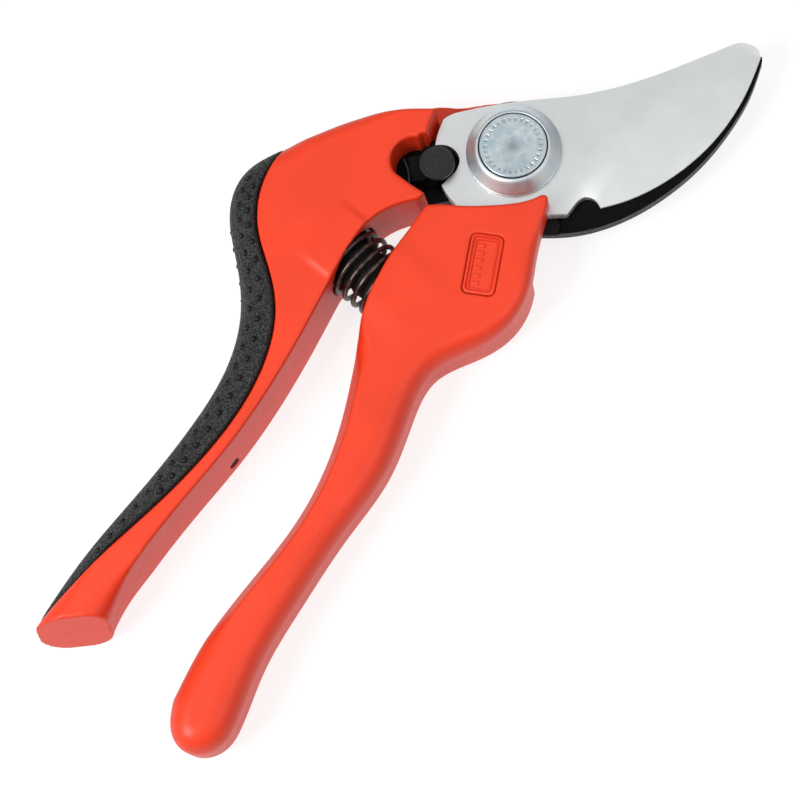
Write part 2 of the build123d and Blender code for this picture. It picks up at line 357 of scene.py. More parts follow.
def slope(field, points):
    """Gradient of a field at each point."""
    columns = []
    for k in range(3):
        step = np.zeros(3)
        step[k] = SLOPE_STEP
        columns.append(field(*(points + step).T) - field(*(points - step).T))
    return np.stack(columns, 1) / (2 * SLOPE_STEP)


def settled(field, points, rounds=3, limit=0.3):
    """Points moved along the field's gradient onto its surface."""
    for _ in range(rounds):
        gradient = slope(field, points)
        square = np.maximum((gradient**2).sum(1), 0.05)
        move = -gradient * (field(*points.T) / square)[:, None]
        size = np.maximum(np.linalg.norm(move, axis=1), 1e-9)
        points = points + move * np.minimum(1, limit / size)[:, None]
    return points


# ---- meshes --------------------------------------------------------------------------


def add_piece(name, points, faces):
    """New object with its mesh drawn in millimetres."""
    mesh = bpy.data.meshes.new(name)
    corners = (np.asarray(points, float) * MM).tolist()
    mesh.from_pydata(corners, [], [list(map(int, face)) for face in faces])
    mesh.update()
    mesh.shade_smooth()
    piece = bpy.data.objects.new(name, mesh)
    bpy.context.scene.collection.objects.link(piece)
    return piece


def moulded(name, field, low, high, pitch):
    """Piece whose surface is a field's zero surface."""
    points, quads = surface_net(field, low, high, pitch)
    return add_piece(name, settled(field, points), quads)


def finished(piece, body, slot, material, *nodes):
    """Give a piece its finish, its body and the CAD nodes that it stands for."""
    if material is not None:
        piece.data.materials.clear()
        piece.data.materials.append(material)
    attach(piece, body)
    if nodes:
        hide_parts(*nodes)
    return piece


def sharpened(piece, degrees=35):
    """Smooth faces, with creases where the surface turns sharply."""
    mesh = piece.data
    mesh.shade_smooth()
    mesh.set_sharp_from_angle(angle=math.radians(degrees))
    return piece


def skin(rows, closed=False):
    """Faces between neighbouring rings of point numbers; a ring of one number is a pole."""
    faces = []
    for low, high in zip(rows, rows[1:] + rows[:1] if closed else rows[1:]):
        for i in range(len(low)):
            j = (i + 1) % len(low)
            faces.append(tuple(dict.fromkeys((low[i], low[j], high[j], high[i]))))
    return faces


def turned_outwards(piece):
    """Closed piece with its faces turned outwards."""
    work = bmesh.new()
    work.from_mesh(piece.data)
    bmesh.ops.recalc_face_normals(work, faces=work.faces)
    work.to_mesh(piece.data)
    work.free()
    return piece


def inset_ring(ring, width):
    """Closed run moved inwards by a width."""
    tangent = np.roll(ring, -1, 0) - np.roll(ring, 1, 0)
    tangent /= np.hypot(*tangent.T)[:, None]
    return ring + np.stack([-tangent[:, 1], tangent[:, 0]], 1) * width


def within(ring, points):
    """Whether each point lies inside a closed run."""
    x, y = points.T
    inside = np.zeros(len(points), bool)
    for (ax, ay), (bx, by) in zip(ring, np.roll(ring, -1, 0)):
        if ay != by:
            crosses = (ay > y) != (by > y)
            inside ^= crosses & (x < ax + (y - ay) / (by - ay) * (bx - ax))
    return inside


def plate(name, rim, holes, top, bottom, bevel, spacing):
    """Flat plate with holes and bevelled rims; top and bottom give the faces' levels."""
    region = plan_distance(rim)
    rings = [rim] + [h[::-1] for h in holes]
    inner = [inset_ring(ring, bevel) for ring in rings]
    hole_fields = [plan_distance(h, rim) for h in holes]

    def depth(x, y):
        value = region(x, y)
        for hole in hole_fields:
            value = np.maximum(value, -hole(x, y))
        return value

    low, high = rim.min(0), rim.max(0)
    xs = np.arange(low[0], high[0], spacing)
    ys = np.arange(low[1], high[1], spacing * math.sqrt(3) / 2)
    grid = np.stack(np.meshgrid(xs, ys, indexing="ij"), -1)
    grid[:, 1::2, 0] += spacing / 2
    grid = grid.reshape(-1, 2)
    grid = grid[depth(*grid.T) < -(bevel + spacing * 0.55)]
    flat = np.concatenate(inner + [grid])
    edges = []
    first = 0
    for ring in inner:
        count = len(ring)
        edges += [(first + i, first + (i + 1) % count) for i in range(count)]
        first += count
    made, _, triangles, *_ = delaunay_2d_cdt([Vector(p) for p in flat], edges, [], 0, 1e-6)
    made = np.array([tuple(p) for p in made])
    if len(made) != len(flat):
        raise ValueError(f"{name}: the outline crosses itself")
    triangles = np.array(triangles)
    centre = made[triangles].mean(1)
    keep = within(inner[0], centre)
    for ring in inner[1:]:
        keep &= ~within(ring, centre)
    triangles = triangles[keep]
    a, b, c = (made[triangles[:, k]] for k in range(3))
    turned = np.cross(b - a, c - a) < 0
    triangles[turned] = triangles[turned][:, ::-1]
    size = len(made)
    rim_points = np.concatenate(rings)
    x, y = made.T
    rx, ry = rim_points.T
    upper = np.column_stack([made, top(x, y)])
    lower = np.column_stack([made, bottom(x, y)])
    thin = np.maximum(top(rx, ry) - bottom(rx, ry), 0.02)
    lip = np.minimum(bevel, thin * 0.45)
    rim_top = np.column_stack([rim_points, top(rx, ry) - lip])
    rim_low = np.column_stack([rim_points, bottom(rx, ry) + lip])
    points = np.concatenate([upper, lower, rim_top, rim_low])
    faces = [tuple(t) for t in triangles] + [tuple(t[::-1] + size) for t in triangles]
    walls = []
    ring_count = len(rim_points)
    first = 0
    for ring in rings:
        count = len(ring)
        for i in range(count):
            p, q = first + i, first + (i + 1) % count
            t, u = 2 * size + p, 2 * size + q
            faces.append((p, t, u, q))
            walls.append((t, t + ring_count, u + ring_count, u))
            faces.append((t + ring_count, size + p, size + q, u + ring_count))
        first += count
    piece = add_piece(name, points, faces + walls)
    return sharpened(piece, 30), len(faces)


def rounded_profile(points, radius, steps=4):
    """Open run of (radius, level) points with its inner corners rounded."""
    points = [Vector(p) for p in points]
    result = [points[0]]
    for before, here, after in zip(points, points[1:], points[2:]):
        back, ahead = before - here, after - here
        reach = min(radius, back.length * 0.45, ahead.length * 0.45)
        start = here + back.normalized() * reach
        finish = here + ahead.normalized() * reach
        for i in range(steps + 1):
            t = i / steps
            result.append((1 - t)**2 * start + 2 * t * (1 - t) * here + t**2 * finish)
    result.append(points[-1])
    return result


def held(profile, reach=0.08):
    """Profile with points near both ends of its long runs, so that flats shade flat."""
    result = []
    for a, b in zip(profile, profile[1:]):
        a, b = Vector(a), Vector(b)
        result.append(a)
        length = (b - a).length
        if length > 5 * reach:
            result += [a.lerp(b, reach / length), b.lerp(a, reach / length)]
    return result + [Vector(profile[-1])]


def turned(name, profile, centre=(0, 0), count=128, crease=35):
    """Turned piece: the profile's (radius, level) points swept about an upright axis."""
    points, rows = [], []
    profile = held(profile)
    for radius, level in profile:
        if radius < 1e-6:
            rows.append([len(points)] * count)
            points.append((centre[0], centre[1], level))
            continue
        rows.append(list(range(len(points), len(points) + count)))
        points += [(*polar(radius, 360 * i / count, centre), level) for i in range(count)]
    faces = skin(rows, closed=profile[0][0] > 1e-6)
    return sharpened(turned_outwards(add_piece(name, points, faces)), crease)


# ---- node trees ----------------------------------------------------------------------


class Signal:
    """Number coming out of a node, with Python's operators adding Math nodes."""

    def __init__(self, graph, socket):
        self.graph, self.socket = graph, socket

    def math(self, operation, *others):
        values = dict(enumerate((self, *others)))
        node = self.graph.add("ShaderNodeMath", {"operation": operation}, values)
        return Signal(self.graph, node.outputs[0])

    def flipped(self, operation, other):
        node = self.graph.add("ShaderNodeMath", {"operation": operation}, {0: other, 1: self})
        return Signal(self.graph, node.outputs[0])

    def __add__(self, other):
        return self.math("ADD", other)

    def __sub__(self, other):
        return self.math("SUBTRACT", other)

    def __mul__(self, other):
        return self.math("MULTIPLY", other)

    def __pow__(self, other):
        return self.math("POWER", other)

    def __radd__(self, other):
        return self.flipped("ADD", other)

    def __rsub__(self, other):
        return self.flipped("SUBTRACT", other)

    def __rmul__(self, other):
        return self.flipped("MULTIPLY", other)

    def ramp(self, low, high):
        """0 below low, 1 above high, eased at both ends."""
        node = self.graph.add("ShaderNodeMapRange", {"interpolation_type": "SMOOTHSTEP"},
                              {"Value": self, "From Min": low, "From Max": high})
        return Signal(self.graph, node.outputs[0])


class Graph:
    """Node tree with one way of adding a node."""

    def __init__(self, tree):
        self.tree = tree

    def add(self, kind, settings=None, inputs=None):
        node = self.tree.nodes.new(kind)
        for key, value in (settings or {}).items():
            setattr(node, key, value)
        for key, value in (inputs or {}).items():
            socket = node.inputs[key]
            value = value.socket if isinstance(value, Signal) else value
            if isinstance(value, bpy.types.NodeSocket):
                self.tree.links.new(value, socket)
            else:
                socket.default_value = value
        return node

    def out(self, node, key=0):
        return Signal(self, node.outputs[key])


class Finish(Graph):
    """Material for one surface, with its Object coordinates in millimetres."""

    def __init__(self, name, specular=None, **constants):
        self.material = bpy.data.materials.new(name)
        self.material.use_nodes = True
        super().__init__(self.material.node_tree)
        self.tree.nodes.clear()
        if specular is not None:
            constants["Specular IOR Level"] = specular
        self.shader = self.add("ShaderNodeBsdfPrincipled", {}, constants)
        end = self.add("ShaderNodeOutputMaterial")
        self.tree.links.new(self.shader.outputs[0], end.inputs["Surface"])
        place = self.add("ShaderNodeTexCoord")
        scaled = self.add("ShaderNodeVectorMath", {"operation": "SCALE"},
                          {0: place.outputs["Object"], "Scale": 1 / MM})
        self.place = scaled.outputs[0]
        self.height = None

    def mapped(self, scale, turn=0.0):
        """Object coordinates in millimetres, turned about Z and scaled."""
        node = self.add("ShaderNodeMapping", {"vector_type": "TEXTURE"},
                        {"Vector": self.place, "Rotation": (0, 0, turn),
                         "Scale": [1 / s for s in scale]})
        return node.outputs[0]

    def noise(self, size, detail=2.0, rough=0.5, place=None):
        """Noise with features of about the given size in millimetres."""
        node = self.add("ShaderNodeTexNoise", {},
                        {"Vector": place or self.place, "Scale": 1 / size, "Detail": detail,
                         "Roughness": rough})
        return self.out(node, "Fac")

    def cells(self, size):
        """Softened Voronoi distance, with cells of about the given size in millimetres."""
        node = self.add("ShaderNodeTexVoronoi", {"feature": "SMOOTH_F1"},
                        {"Vector": self.place, "Scale": 1 / size})
        return self.out(node, "Distance")

    def axes(self, place=None):
        """X, Y and Z of a vector as numbers."""
        node = self.add("ShaderNodeSeparateXYZ", {}, {0: place or self.place})
        return [self.out(node, k) for k in range(3)]

    def facing(self):
        """X, Y and Z of the way the piece's surface faces."""
        return self.axes(self.add("ShaderNodeTexCoord").outputs["Normal"])

    def blend(self, factor, first, second):
        """Colour between two others."""
        node = self.add("ShaderNodeMix", {"data_type": "RGBA"},
                        {"Factor": factor, 6: first, 7: second})
        return node.outputs[2]

    def bump(self, signal, depth):
        """Raise the surface by a signal times a depth in millimetres; calls add up."""
        inputs = {"Height": signal, "Distance": depth * MM, "Strength": 1.0}
        if self.height is not None:
            inputs["Normal"] = self.height
        self.height = self.add("ShaderNodeBump", {}, inputs).outputs[0]

    def done(self, **varying):
        """Join what varies over the surface to the shader."""
        for key, value in varying.items():
            value = value.socket if isinstance(value, Signal) else value
            self.tree.links.new(value, self.shader.inputs[key.replace("_", " ").title()])
        if self.height is not None:
            self.tree.links.new(self.height, self.shader.inputs["Normal"])
        return self.material


def rgba(colour, *gains):
    """Colour with alpha, brightened by one gain or by one for each channel."""
    gains = gains * 3 if len(gains) == 1 else gains
    return (*(c * g for c, g in zip(colour, gains)), 1.0)


# ---- finishes ------------------------------------------------------------------------


def settings():
    """Sizes and colours that the user may change."""
    return bpy.context.scene.pruning_shears


def made_once(maker):
    """Keep each finish, so that pieces of one material share it."""
    made = {}

    def find():
        if maker.__name__ not in made:
            made[maker.__name__] = maker()
        return made[maker.__name__]

    return find


@made_once
def composite():
    """Glass-filled moulding in orange red: satin, with a faint orange-peel skin."""
    colour = settings().handle_colour
    finish = Finish("orange_composite", Roughness=0.38, specular=0.4)
    cloud = finish.noise(18, 3)
    fibre = finish.noise(0.5, 2, place=finish.mapped(scale=(0.35, 1.6, 1.0)))
    tone = finish.blend(cloud.ramp(0.3, 0.7), rgba(colour, 0.95), rgba(colour, 1.04))
    tone = finish.blend(fibre.ramp(0.55, 0.8) * 0.10, tone, rgba(colour, 1.3))
    # Walls and steep roundings, which face sideways, are painted darker and browner than the
    # faces: painted shade.
    _, _, upright = finish.facing()
    wall = 1 - upright.math("ABSOLUTE").ramp(0.45, 0.96)
    tone = finish.blend(wall * 0.8, tone, rgba(colour, 0.74, 0.62, 0.45))
    _, _, level = finish.axes()
    seam = (level - MID).math("ABSOLUTE")
    finish.bump(seam.ramp(0.0, 0.16), 0.05)
    finish.bump(finish.noise(0.7, 2), 0.008)
    finish.bump(finish.noise(5.0, 1), 0.02)
    rough = 0.36 + finish.noise(2.2, 3) * 0.12
    return finish.done(base_color=tone, roughness=rough)


@made_once
def elastomer():
    """Soft grip: near black, dry, with a pebbled leather grain."""
    colour = settings().pad_colour
    finish = Finish("grip_elastomer", Roughness=0.6, specular=0.45)
    pebble = finish.cells(0.42)
    crease = pebble.ramp(0.2, 0.62)
    # Pebble tops painted lighter and creases painted darker: painted highlight and painted shade
    # on the grain.
    tone = finish.blend(crease, rgba(colour, 2.1), rgba(colour, 0.35))
    finish.bump(1 - crease, 0.13)
    finish.bump(finish.noise(0.22, 2), 0.01)
    rough = 0.46 + crease * 0.3 + finish.noise(9, 2) * 0.08
    return finish.done(base_color=tone, roughness=rough)


@made_once
def stud_elastomer():
    """Smoother skin on the tops of the pad's studs, painted blacker than the pad: painted shade on
    the small bumps.
    """
    colour = settings().pad_colour
    finish = Finish("stud_elastomer", Roughness=0.45, specular=0.3)
    skin = finish.noise(0.3, 2)
    # Painted shade: the studs' tone is darker than the pad's.
    tone = finish.blend(skin, rgba(colour, 0.25), rgba(colour, 0.5))
    finish.bump(skin, 0.01)
    return finish.done(base_color=tone, roughness=0.38 + skin * 0.14)


@made_once
def ground_steel():
    """Blade steel: satin ground across, with faint smudges and fine scratches."""
    finish = Finish("blade_steel", Metallic=1.0, Roughness=0.3)
    across = finish.mapped(scale=(0.03, 1.0, 1.0), turn=math.radians(62))
    grind = finish.noise(0.16, 3, place=across)
    smudge = finish.noise(11, 3)
    stain = finish.noise(3.5, 4)
    tone = finish.blend(smudge.ramp(0.3, 0.75), (0.79, 0.815, 0.815, 1), (0.86, 0.88, 0.88, 1))
    tone = finish.blend(grind.ramp(0.35, 0.75) * 0.25, tone, (0.70, 0.72, 0.73, 1))
    rough = 0.33 + grind * 0.08 + stain.ramp(0.4, 0.7) * 0.03
    finish.bump(grind, 0.003)
    return finish.done(base_color=tone, roughness=rough)


@made_once
def ground_edge():
    """Freshly ground bevel and walls of the plates."""
    finish = Finish("blade_wall", Metallic=1.0, Roughness=0.42)
    streak = finish.noise(0.25, 3, place=finish.mapped(scale=(1.0, 1.0, 0.1)))
    tone = finish.blend(streak.ramp(0.3, 0.7), (0.55, 0.52, 0.51, 1), (0.80, 0.77, 0.76, 1))
    finish.bump(streak, 0.01)
    return finish.done(base_color=tone, roughness=0.46 + streak * 0.2)


@made_once
def black_coat():
    """Low-friction coating on the counter blade: near black, speckled."""
    finish = Finish("coated_steel", Metallic=0.0, Roughness=0.4, specular=0.06)
    speck = finish.noise(0.45, 4, 0.7)
    patch = finish.noise(6, 3)
    tone = finish.blend(speck.ramp(0.42, 0.75), (0.002, 0.002, 0.003, 1), (0.009, 0.008, 0.010, 1))
    tone = finish.blend(patch.ramp(0.5, 0.8) * 0.3, tone, (0.014, 0.013, 0.013, 1))
    finish.bump(speck, 0.012)
    return finish.done(base_color=tone, roughness=0.30 + speck * 0.25)


@made_once
def coat_wall():
    """Side wall of the counter blade, where the coating is worn to grey brown."""
    finish = Finish("coated_steel_wall", Metallic=0.7, Roughness=0.5)
    speck = finish.noise(0.5, 4, 0.7)
    worn = finish.noise(1.4, 3, place=finish.mapped(scale=(1, 1, 0.3)))
    tone = finish.blend(worn.ramp(0.3, 0.7), (0.010, 0.009, 0.009, 1), (0.045, 0.042, 0.042, 1))
    finish.bump(speck, 0.02)
    return finish.done(base_color=tone, roughness=0.4 + speck * 0.25)


@made_once
def zinc():
    """Bright zinc on the pivot's parts."""
    finish = Finish("zinc_steel", Metallic=1.0, Roughness=0.25)
    cloud = finish.noise(1.8, 3)
    tint = finish.noise(5, 2)
    tone = finish.blend(tint.ramp(0.35, 0.65), (0.66, 0.74, 0.79, 1), (0.80, 0.79, 0.79, 1))
    finish.bump(cloud, 0.01)
    return finish.done(base_color=tone, roughness=0.40 + cloud * 0.16)


@made_once
def turned_face():
    """Bolt head: fine turning marks and a ring of plain dots on mottled zinc; the lighter mottling
    is partly painted highlight, and the darker centre is a painted reflection.
    """
    finish = Finish("turned_zinc", Metallic=1.0, Roughness=0.25)
    x, y, _ = finish.axes()
    radius = (x * x + y * y) ** 0.5
    around = y.math("ARCTAN2", x)
    dot_count = 30
    ring = (radius * 16.0).math("SINE")
    mottle = finish.noise(1.1, 3, 0.6)
    tint = finish.noise(2.5, 2)
    tone = finish.blend(tint.ramp(0.35, 0.65), (0.50, 0.63, 0.69, 1), (0.64, 0.72, 0.77, 1))
    # Lighter mottled patches: the zinc's own mottling, partly painted highlight.
    tone = finish.blend(mottle.ramp(0.45, 0.75) * 0.6, tone, (0.86, 0.90, 0.92, 1))
    # Centre painted darker: painted reflection of the turned face.
    tone = finish.blend(1 - radius.ramp(0.0, 2.6), tone, (0.36, 0.42, 0.45, 1))
    band = radius.ramp(5.7, 5.95) * (1 - radius.ramp(6.45, 6.7))
    dots = (around * float(dot_count)).math("SINE").ramp(0.1, 0.7) * band
    tone = finish.blend(dots * 0.35, tone, (0.25, 0.30, 0.33, 1))
    finish.bump(ring, 0.012)
    finish.bump(mottle, 0.02)
    finish.bump(1 - dots, 0.06)
    return finish.done(base_color=tone, roughness=0.24 + mottle * 0.16)


@made_once
def wire():
    """Oil-hardened spring wire: dark brown grey with draw lines."""
    finish = Finish("spring_steel", Metallic=0.9, Roughness=0.35)
    haze = finish.noise(1.2, 3)
    tone = finish.blend(haze.ramp(0.3, 0.7), (0.045, 0.034, 0.032, 1), (0.13, 0.10, 0.095, 1))
    finish.bump(finish.noise(0.2, 2), 0.006)
    return finish.done(base_color=tone, roughness=0.28 + haze * 0.18)


@made_once
def leaf_steel():
    """Strip steel of the lock's leaf, near black: its own dark tone, partly painted shade of the
    pocket.
    """
    finish = Finish("blued_steel", Metallic=0.8, Roughness=0.45)
    haze = finish.noise(0.9, 3)
    tone = finish.blend(haze.ramp(0.3, 0.7), (0.02, 0.019, 0.02, 1), (0.06, 0.055, 0.055, 1))
    finish.bump(haze, 0.008)
    return finish.done(base_color=tone, roughness=0.35 + haze * 0.2)


@made_once
def rubber():
    """Moulded rubber of the buffer."""
    finish = Finish("buffer_rubber", Roughness=0.6, specular=0.25)
    grain = finish.noise(0.5, 3)
    tone = finish.blend(grain, (0.004, 0.004, 0.004, 1), (0.010, 0.010, 0.010, 1))
    finish.bump(grain, 0.02)
    return finish.done(base_color=tone, roughness=0.5 + grain * 0.25)


@made_once
def pocket_plastic():
    """Black moulding of the parts inside the lock's pocket, painted darker and less glossy than
    the button: painted shade.
    """
    finish = Finish("pocket_plastic", Roughness=0.5, specular=0.05)
    speck = finish.noise(0.35, 3, 0.6)
    tone = finish.blend(speck, (0.003, 0.003, 0.003, 1), (0.008, 0.008, 0.008, 1))
    finish.bump(speck, 0.012)
    return finish.done(base_color=tone, roughness=0.4 + speck * 0.2)


@made_once
def black_plastic():
    """Black moulding of the lock, with turned rings about the button's centre."""
    finish = Finish("black_plastic", Roughness=0.5, specular=0.35)
    x, y, _ = finish.axes()
    dx, dy = x - BUTTON[0], y - BUTTON[1]
    radius = (dx * dx + dy * dy) ** 0.5
    ring = (radius * 14.0).math("SINE")
    speck = finish.noise(0.35, 3, 0.6)
    tone = finish.blend(speck.ramp(0.4, 0.7), (0.010, 0.010, 0.010, 1), (0.022, 0.022, 0.023, 1))
    finish.bump(ring, 0.012)
    finish.bump(speck, 0.015)
    return finish.done(base_color=tone, roughness=0.42 + speck * 0.2)


# ---- upper handle and pad ------------------------------------------------------------

PAD_START = (-35.0, 38.3)
PAD_END = (-149.5, -0.4)
HEAD_FRONT = polar(RECESS_R, 106)
HEAD_TIP = polar(RECESS_R, 163)


def upper_runs():
    """Head's top, back of the grip, butt, palm side and recess, as one outline."""
    head_top = spline(HEAD_FRONT, (-16.8, 29.6), (-25.5, 34.2), PAD_START)
    back = spline(
        PAD_START, (-40.7, 40.8), (-47, 41.1), (-54.3, 37.1), (-61, 28), (-70, 17.3),
        (-80, 11.3), (-95, 7.3), (-113, 5.0), (-131, 3.3), PAD_END,
    )
    butt = spline(PAD_END, (-154, -3), (-155.5, -9), (-151, -14.5), (-144.5, -14.2),
                  (-138, -11.2))
    palm = spline(
        (-138, -11.2), (-131, -8.6), (-122, -6.6), (-106, -4.6), (-92, -3.2), (-77, -0.4),
        (-62, 3.7), (-50, 7.5), (-41, 10), (-33, 10.8), (-27.5, 9.0), (-23.6, 6.6),
    )
    lip = line((-23.6, 6.6), HEAD_TIP)
    recess = arc(RECESS_R, 163, 106)
    return head_top, back, butt, palm, lip, recess


def pad_seam():
    """Line on the face where the pad meets the moulding."""
    return spline(
        PAD_START, (-46.5, 34.0), (-53, 28), (-57.6, 19.9), (-63, 12), (-71.3, 5.7),
        (-83, 1.2), (-96, -0.9), (-110, -1.3), (-126, -0.6), PAD_END,
    )


def spring_place(x, y):
    """Place across the spring's axis, and along it from its top end."""
    axis = (SPRING_END - SPRING_START).normalized()
    dx, dy = x - SPRING_START.x, y - SPRING_START.y
    return dx * axis.y - dy * axis.x, dx * axis.x + dy * axis.y


class UpperShape:
    """Fields of the upper handle's moulding and pad."""

    crease = 0.9
    back_radius = 6.2
    head_radius = 3.6

    def __init__(self):
        head_top, back, butt, palm, lip, recess = upper_runs()
        rim = outline(head_top, back, butt, palm, lip, recess)
        self.rim = plan_distance(rim)
        self.back = plan_distance(back, rim, closed=False)
        self.head = plan_distance(head_top, rim, closed=False)
        self.palm = plan_distance(joined(palm, lip, recess), rim, closed=False)
        seam_side = outline(
            pad_seam(), line(PAD_END, (-170, -0.4), (-170, 60), (-35, 60), PAD_START))
        self.pad_side = plan_distance(seam_side, rim)
        pocket = outline(
            line((-22.6, 14.6), (-22.2, 10.5), (-21.3, 5.2), (-16, 2), (-8, 12), (-12.0, 17.2)),
            arc(5.3, 35, 172, centre=(-17.4, 13.9)),
        )
        self.pocket = plan_distance(pocket, rim)
        web = outline(
            spline((-9, 24.6), (-6, 24.4), (-2.9, 22.9), (0.7, 18.7), (4.3, 15.7), (7.3, 13.2)),
            line((7.3, 13.2), polar(EYE_R, 50)), arc(EYE_R, 50, -144.8),
            line(polar(EYE_R, 215.2), (-19, 5.4), (-24, 14), (-14, 22), (-9, 24.6)),
        )
        self.web = plan_distance(web)
        self.low, self.high = rim.min(0), rim.max(0)

    def radius(self, x, y):
        """Rounding of the rims: crisp by the palm, full along the back and at the butt."""
        back, head, palm = self.back(x, y), self.head(x, y), self.palm(x, y)
        outer = np.minimum(back, head)
        share = smooth_step(0.30, 0.80, palm / (palm + outer + 1e-6))
        full = self.head_radius + (self.back_radius - self.head_radius) * smooth_step(
            -6, 6, head - back)
        full = full + (self.crease - full) * smooth_step(-20, -9, x)
        radius = self.crease + (full - self.crease) * share
        return radius + (5.2 - np.minimum(radius, 5.2)) * smooth_step(-122, -138, x)

    def body(self, x, y, z):
        """Grip and head with the swelling round the spring's cup, before cuts."""
        rim = self.rim(x, y)
        across, along = spring_place(x, y)
        half = SHELL + SWELL * smooth_step(8.6, 6.4, np.abs(across)) * smooth_step(-5, 2.5, along)
        slab = rounded_slab(rim, z - MID, half, self.radius(x, y))
        butt = -0.639 * x - 0.769 * y - 95.5 - (THICK - 1.5 - z) * 0.22
        return cut_by(slab, butt * 0.977, 0.35)

    def hollows(self, x, y, z, body):
        """Lock pocket, spring cup, rear seat of the lock and the small palm hole."""
        draft = (THICK - z) * 0.05
        pocket = np.maximum(self.pocket(x, y) + draft, SHEAR_Z - 0.35 - z)
        body = cut_by(body, -pocket, 0.9)
        cup = bar(x, y, z, SPRING_START, SPRING_START.lerp(SPRING_END, 1.5), CUP_R)
        body = cut_by(body, -cup, 0.6)
        seat_in = Vector((*polar(SLOT_IN, LOCK_ANGLE), 0))
        seat_out = Vector((*REAR_WASHER, 0))
        seat = np.maximum(capsule(x, y, 0 * z, seat_in, seat_out, 3.5), z - 3.2)
        body = cut_by(body, -seat, 0.6)
        hole = capsule(x, y, z, DRAIN + Vector((0.3, -4, 0)), DRAIN + Vector((0, 3, 0)), 1.4)
        return cut_by(body, -hole, 0.25)

    def core(self, x, y, z):
        """Orange moulding: body without its pad, and the arm behind the counter blade."""
        body = self.hollows(x, y, z, self.body(x, y, z))
        body = cut_by(body, 0.05 - self.pad_side(x, y), 0.4)
        arm_mid = (COUNTER_LOW + NUT_TOP + 0.5) / 2
        arm_half = (COUNTER_LOW - NUT_TOP - 0.5) / 2
        arm = rounded_slab(self.web(x, y), z - arm_mid, arm_half, 0.5)
        return joined_to(body, arm, 0.8)

    def pad(self, x, y, z):
        """Soft pad, standing a little proud of the moulding."""
        groove = 0.5 * smooth_step(6.4, 8.6, np.abs(z - MID))
        side = self.pad_side(x, y) + 0.05 + groove
        return cut_by(self.body(x, y, z) - 0.12, side, 0.7)


# ---- lower handle --------------------------------------------------------------------

NOSE_R = 13.9  # top edge at the nose, from the pivot
BADGE = (-24.6, -14.9)
BADGE_TURN = math.radians(34.5)
BADGE_HALF = (7.0, 3.7)
BADGE_DEEP = 0.8
BADGE_BARS, BAR_PITCH = 6, 1.75


def lower_runs():
    """Concave top edge round the collar, and the rest of the outline."""
    top = spline((-22.3, 3.3), (-20.9, 2.0), (-18.7, -0.8), polar(NOSE_R + 1.5, 201),
                 polar(NOSE_R, 222), polar(NOSE_R - 0.3, 246), (-4.2, -12.9))
    nose = spline((-4.2, -12.9), (-3.5, -13.9), (-4.6, -15.3))
    body = spline(
        (-4.6, -15.3), (-14.1, -20.8), (-22, -26), (-30, -28), (-39, -26.2),
        (-49, -23), (-59, -25.9), (-72, -31.4), (-88, -34.2), (-106, -37.9),
        (-121, -41.9), (-132.6, -46.9), (-138.5, -48.2), (-143.8, -45.6),
        (-145.2, -42), (-143.6, -37.5), (-139.2, -33.8),
    )
    inner = spline(
        (-139.2, -33.8), (-127, -29.8), (-111, -27.2), (-94, -25), (-77.5, -19.5),
        (-65.7, -12.8), (-55.3, -5.9), (-46.9, -1.3), (-35.2, 2.2), (-24.6, 4.0),
    )
    corner = spline((-24.6, 4.0), (-23.1, 4.1), (-22.3, 3.3))
    return top, nose, body, inner, corner


class LowerShape:
    """Field of the lower handle's moulding."""

    def __init__(self):
        top, nose, body, inner, corner = lower_runs()
        rim = outline(top, nose, body, inner, corner)
        self.rim = plan_distance(rim)
        self.top = plan_distance(joined(corner, top, nose[:8]), rim, closed=False)
        self.inner = plan_distance(inner, rim, closed=False)
        self.low, self.high = rim.min(0), rim.max(0)

    def badge(self, x, y):
        """Distance to the rounded rectangle of the badge's seat."""
        c, s = math.cos(BADGE_TURN), math.sin(BADGE_TURN)
        u = (x - BADGE[0]) * c + (y - BADGE[1]) * s
        v = (y - BADGE[1]) * c - (x - BADGE[0]) * s
        corner = 1.5
        qu = np.abs(u) - BADGE_HALF[0] - 0.1 + corner
        qv = np.abs(v) - BADGE_HALF[1] - 0.1 + corner
        return np.hypot(np.maximum(qu, 0), np.maximum(qv, 0)) + np.minimum(
            np.maximum(qu, qv), 0) - corner

    def field(self, x, y, z):
        rim = self.rim(x, y)
        height = z - MID
        below = self.top(x, y)
        radius = 0.8 + 1.9 * smooth_step(1.5, 12, below) + 3.0 * smooth_step(18, 44, below)
        across, along = spring_place(x, y)
        half = SHELL + SWELL * smooth_step(11.0, 4.8, np.abs(across)) * smooth_step(33, 23, along)
        by_cup = smooth_step(15, 9, np.abs(across)) * smooth_step(9, 3, self.inner(x, y))
        radius = radius + (1.0 - radius) * by_cup
        soft = rounded_slab(rim, height, half, radius)
        crisp = rounded_slab(rim, height, SHELL, 0.8)
        facet = (rim * 5.4 + (np.abs(height) - 3.2) * 2.7) / 6.04
        faceted = cut_by(crisp, facet, 0.3)
        reach = smooth_step(-126, -114, x) * smooth_step(-56, -62, x)
        share = reach * smooth_step(7.5, 5.0, self.inner(x, y))
        body = soft + (faceted - soft) * share
        under = np.minimum(np.hypot(x, y) - SWEEP_R, np.maximum(-18.6 - x, y - 10))
        body = cut_by(body, -np.maximum(under, z - SHEAR_Z - 0.3), 0.6)
        cup_start = SPRING_START.lerp(SPRING_END, 0.34)
        cup = bar(x, y, z, cup_start, SPRING_END, CUP_R)
        body = cut_by(body, -cup, 0.6)
        seat = np.maximum(self.badge(x, y), MID + SHELL - BADGE_DEEP - z)
        return cut_by(body, -seat, 0.2)


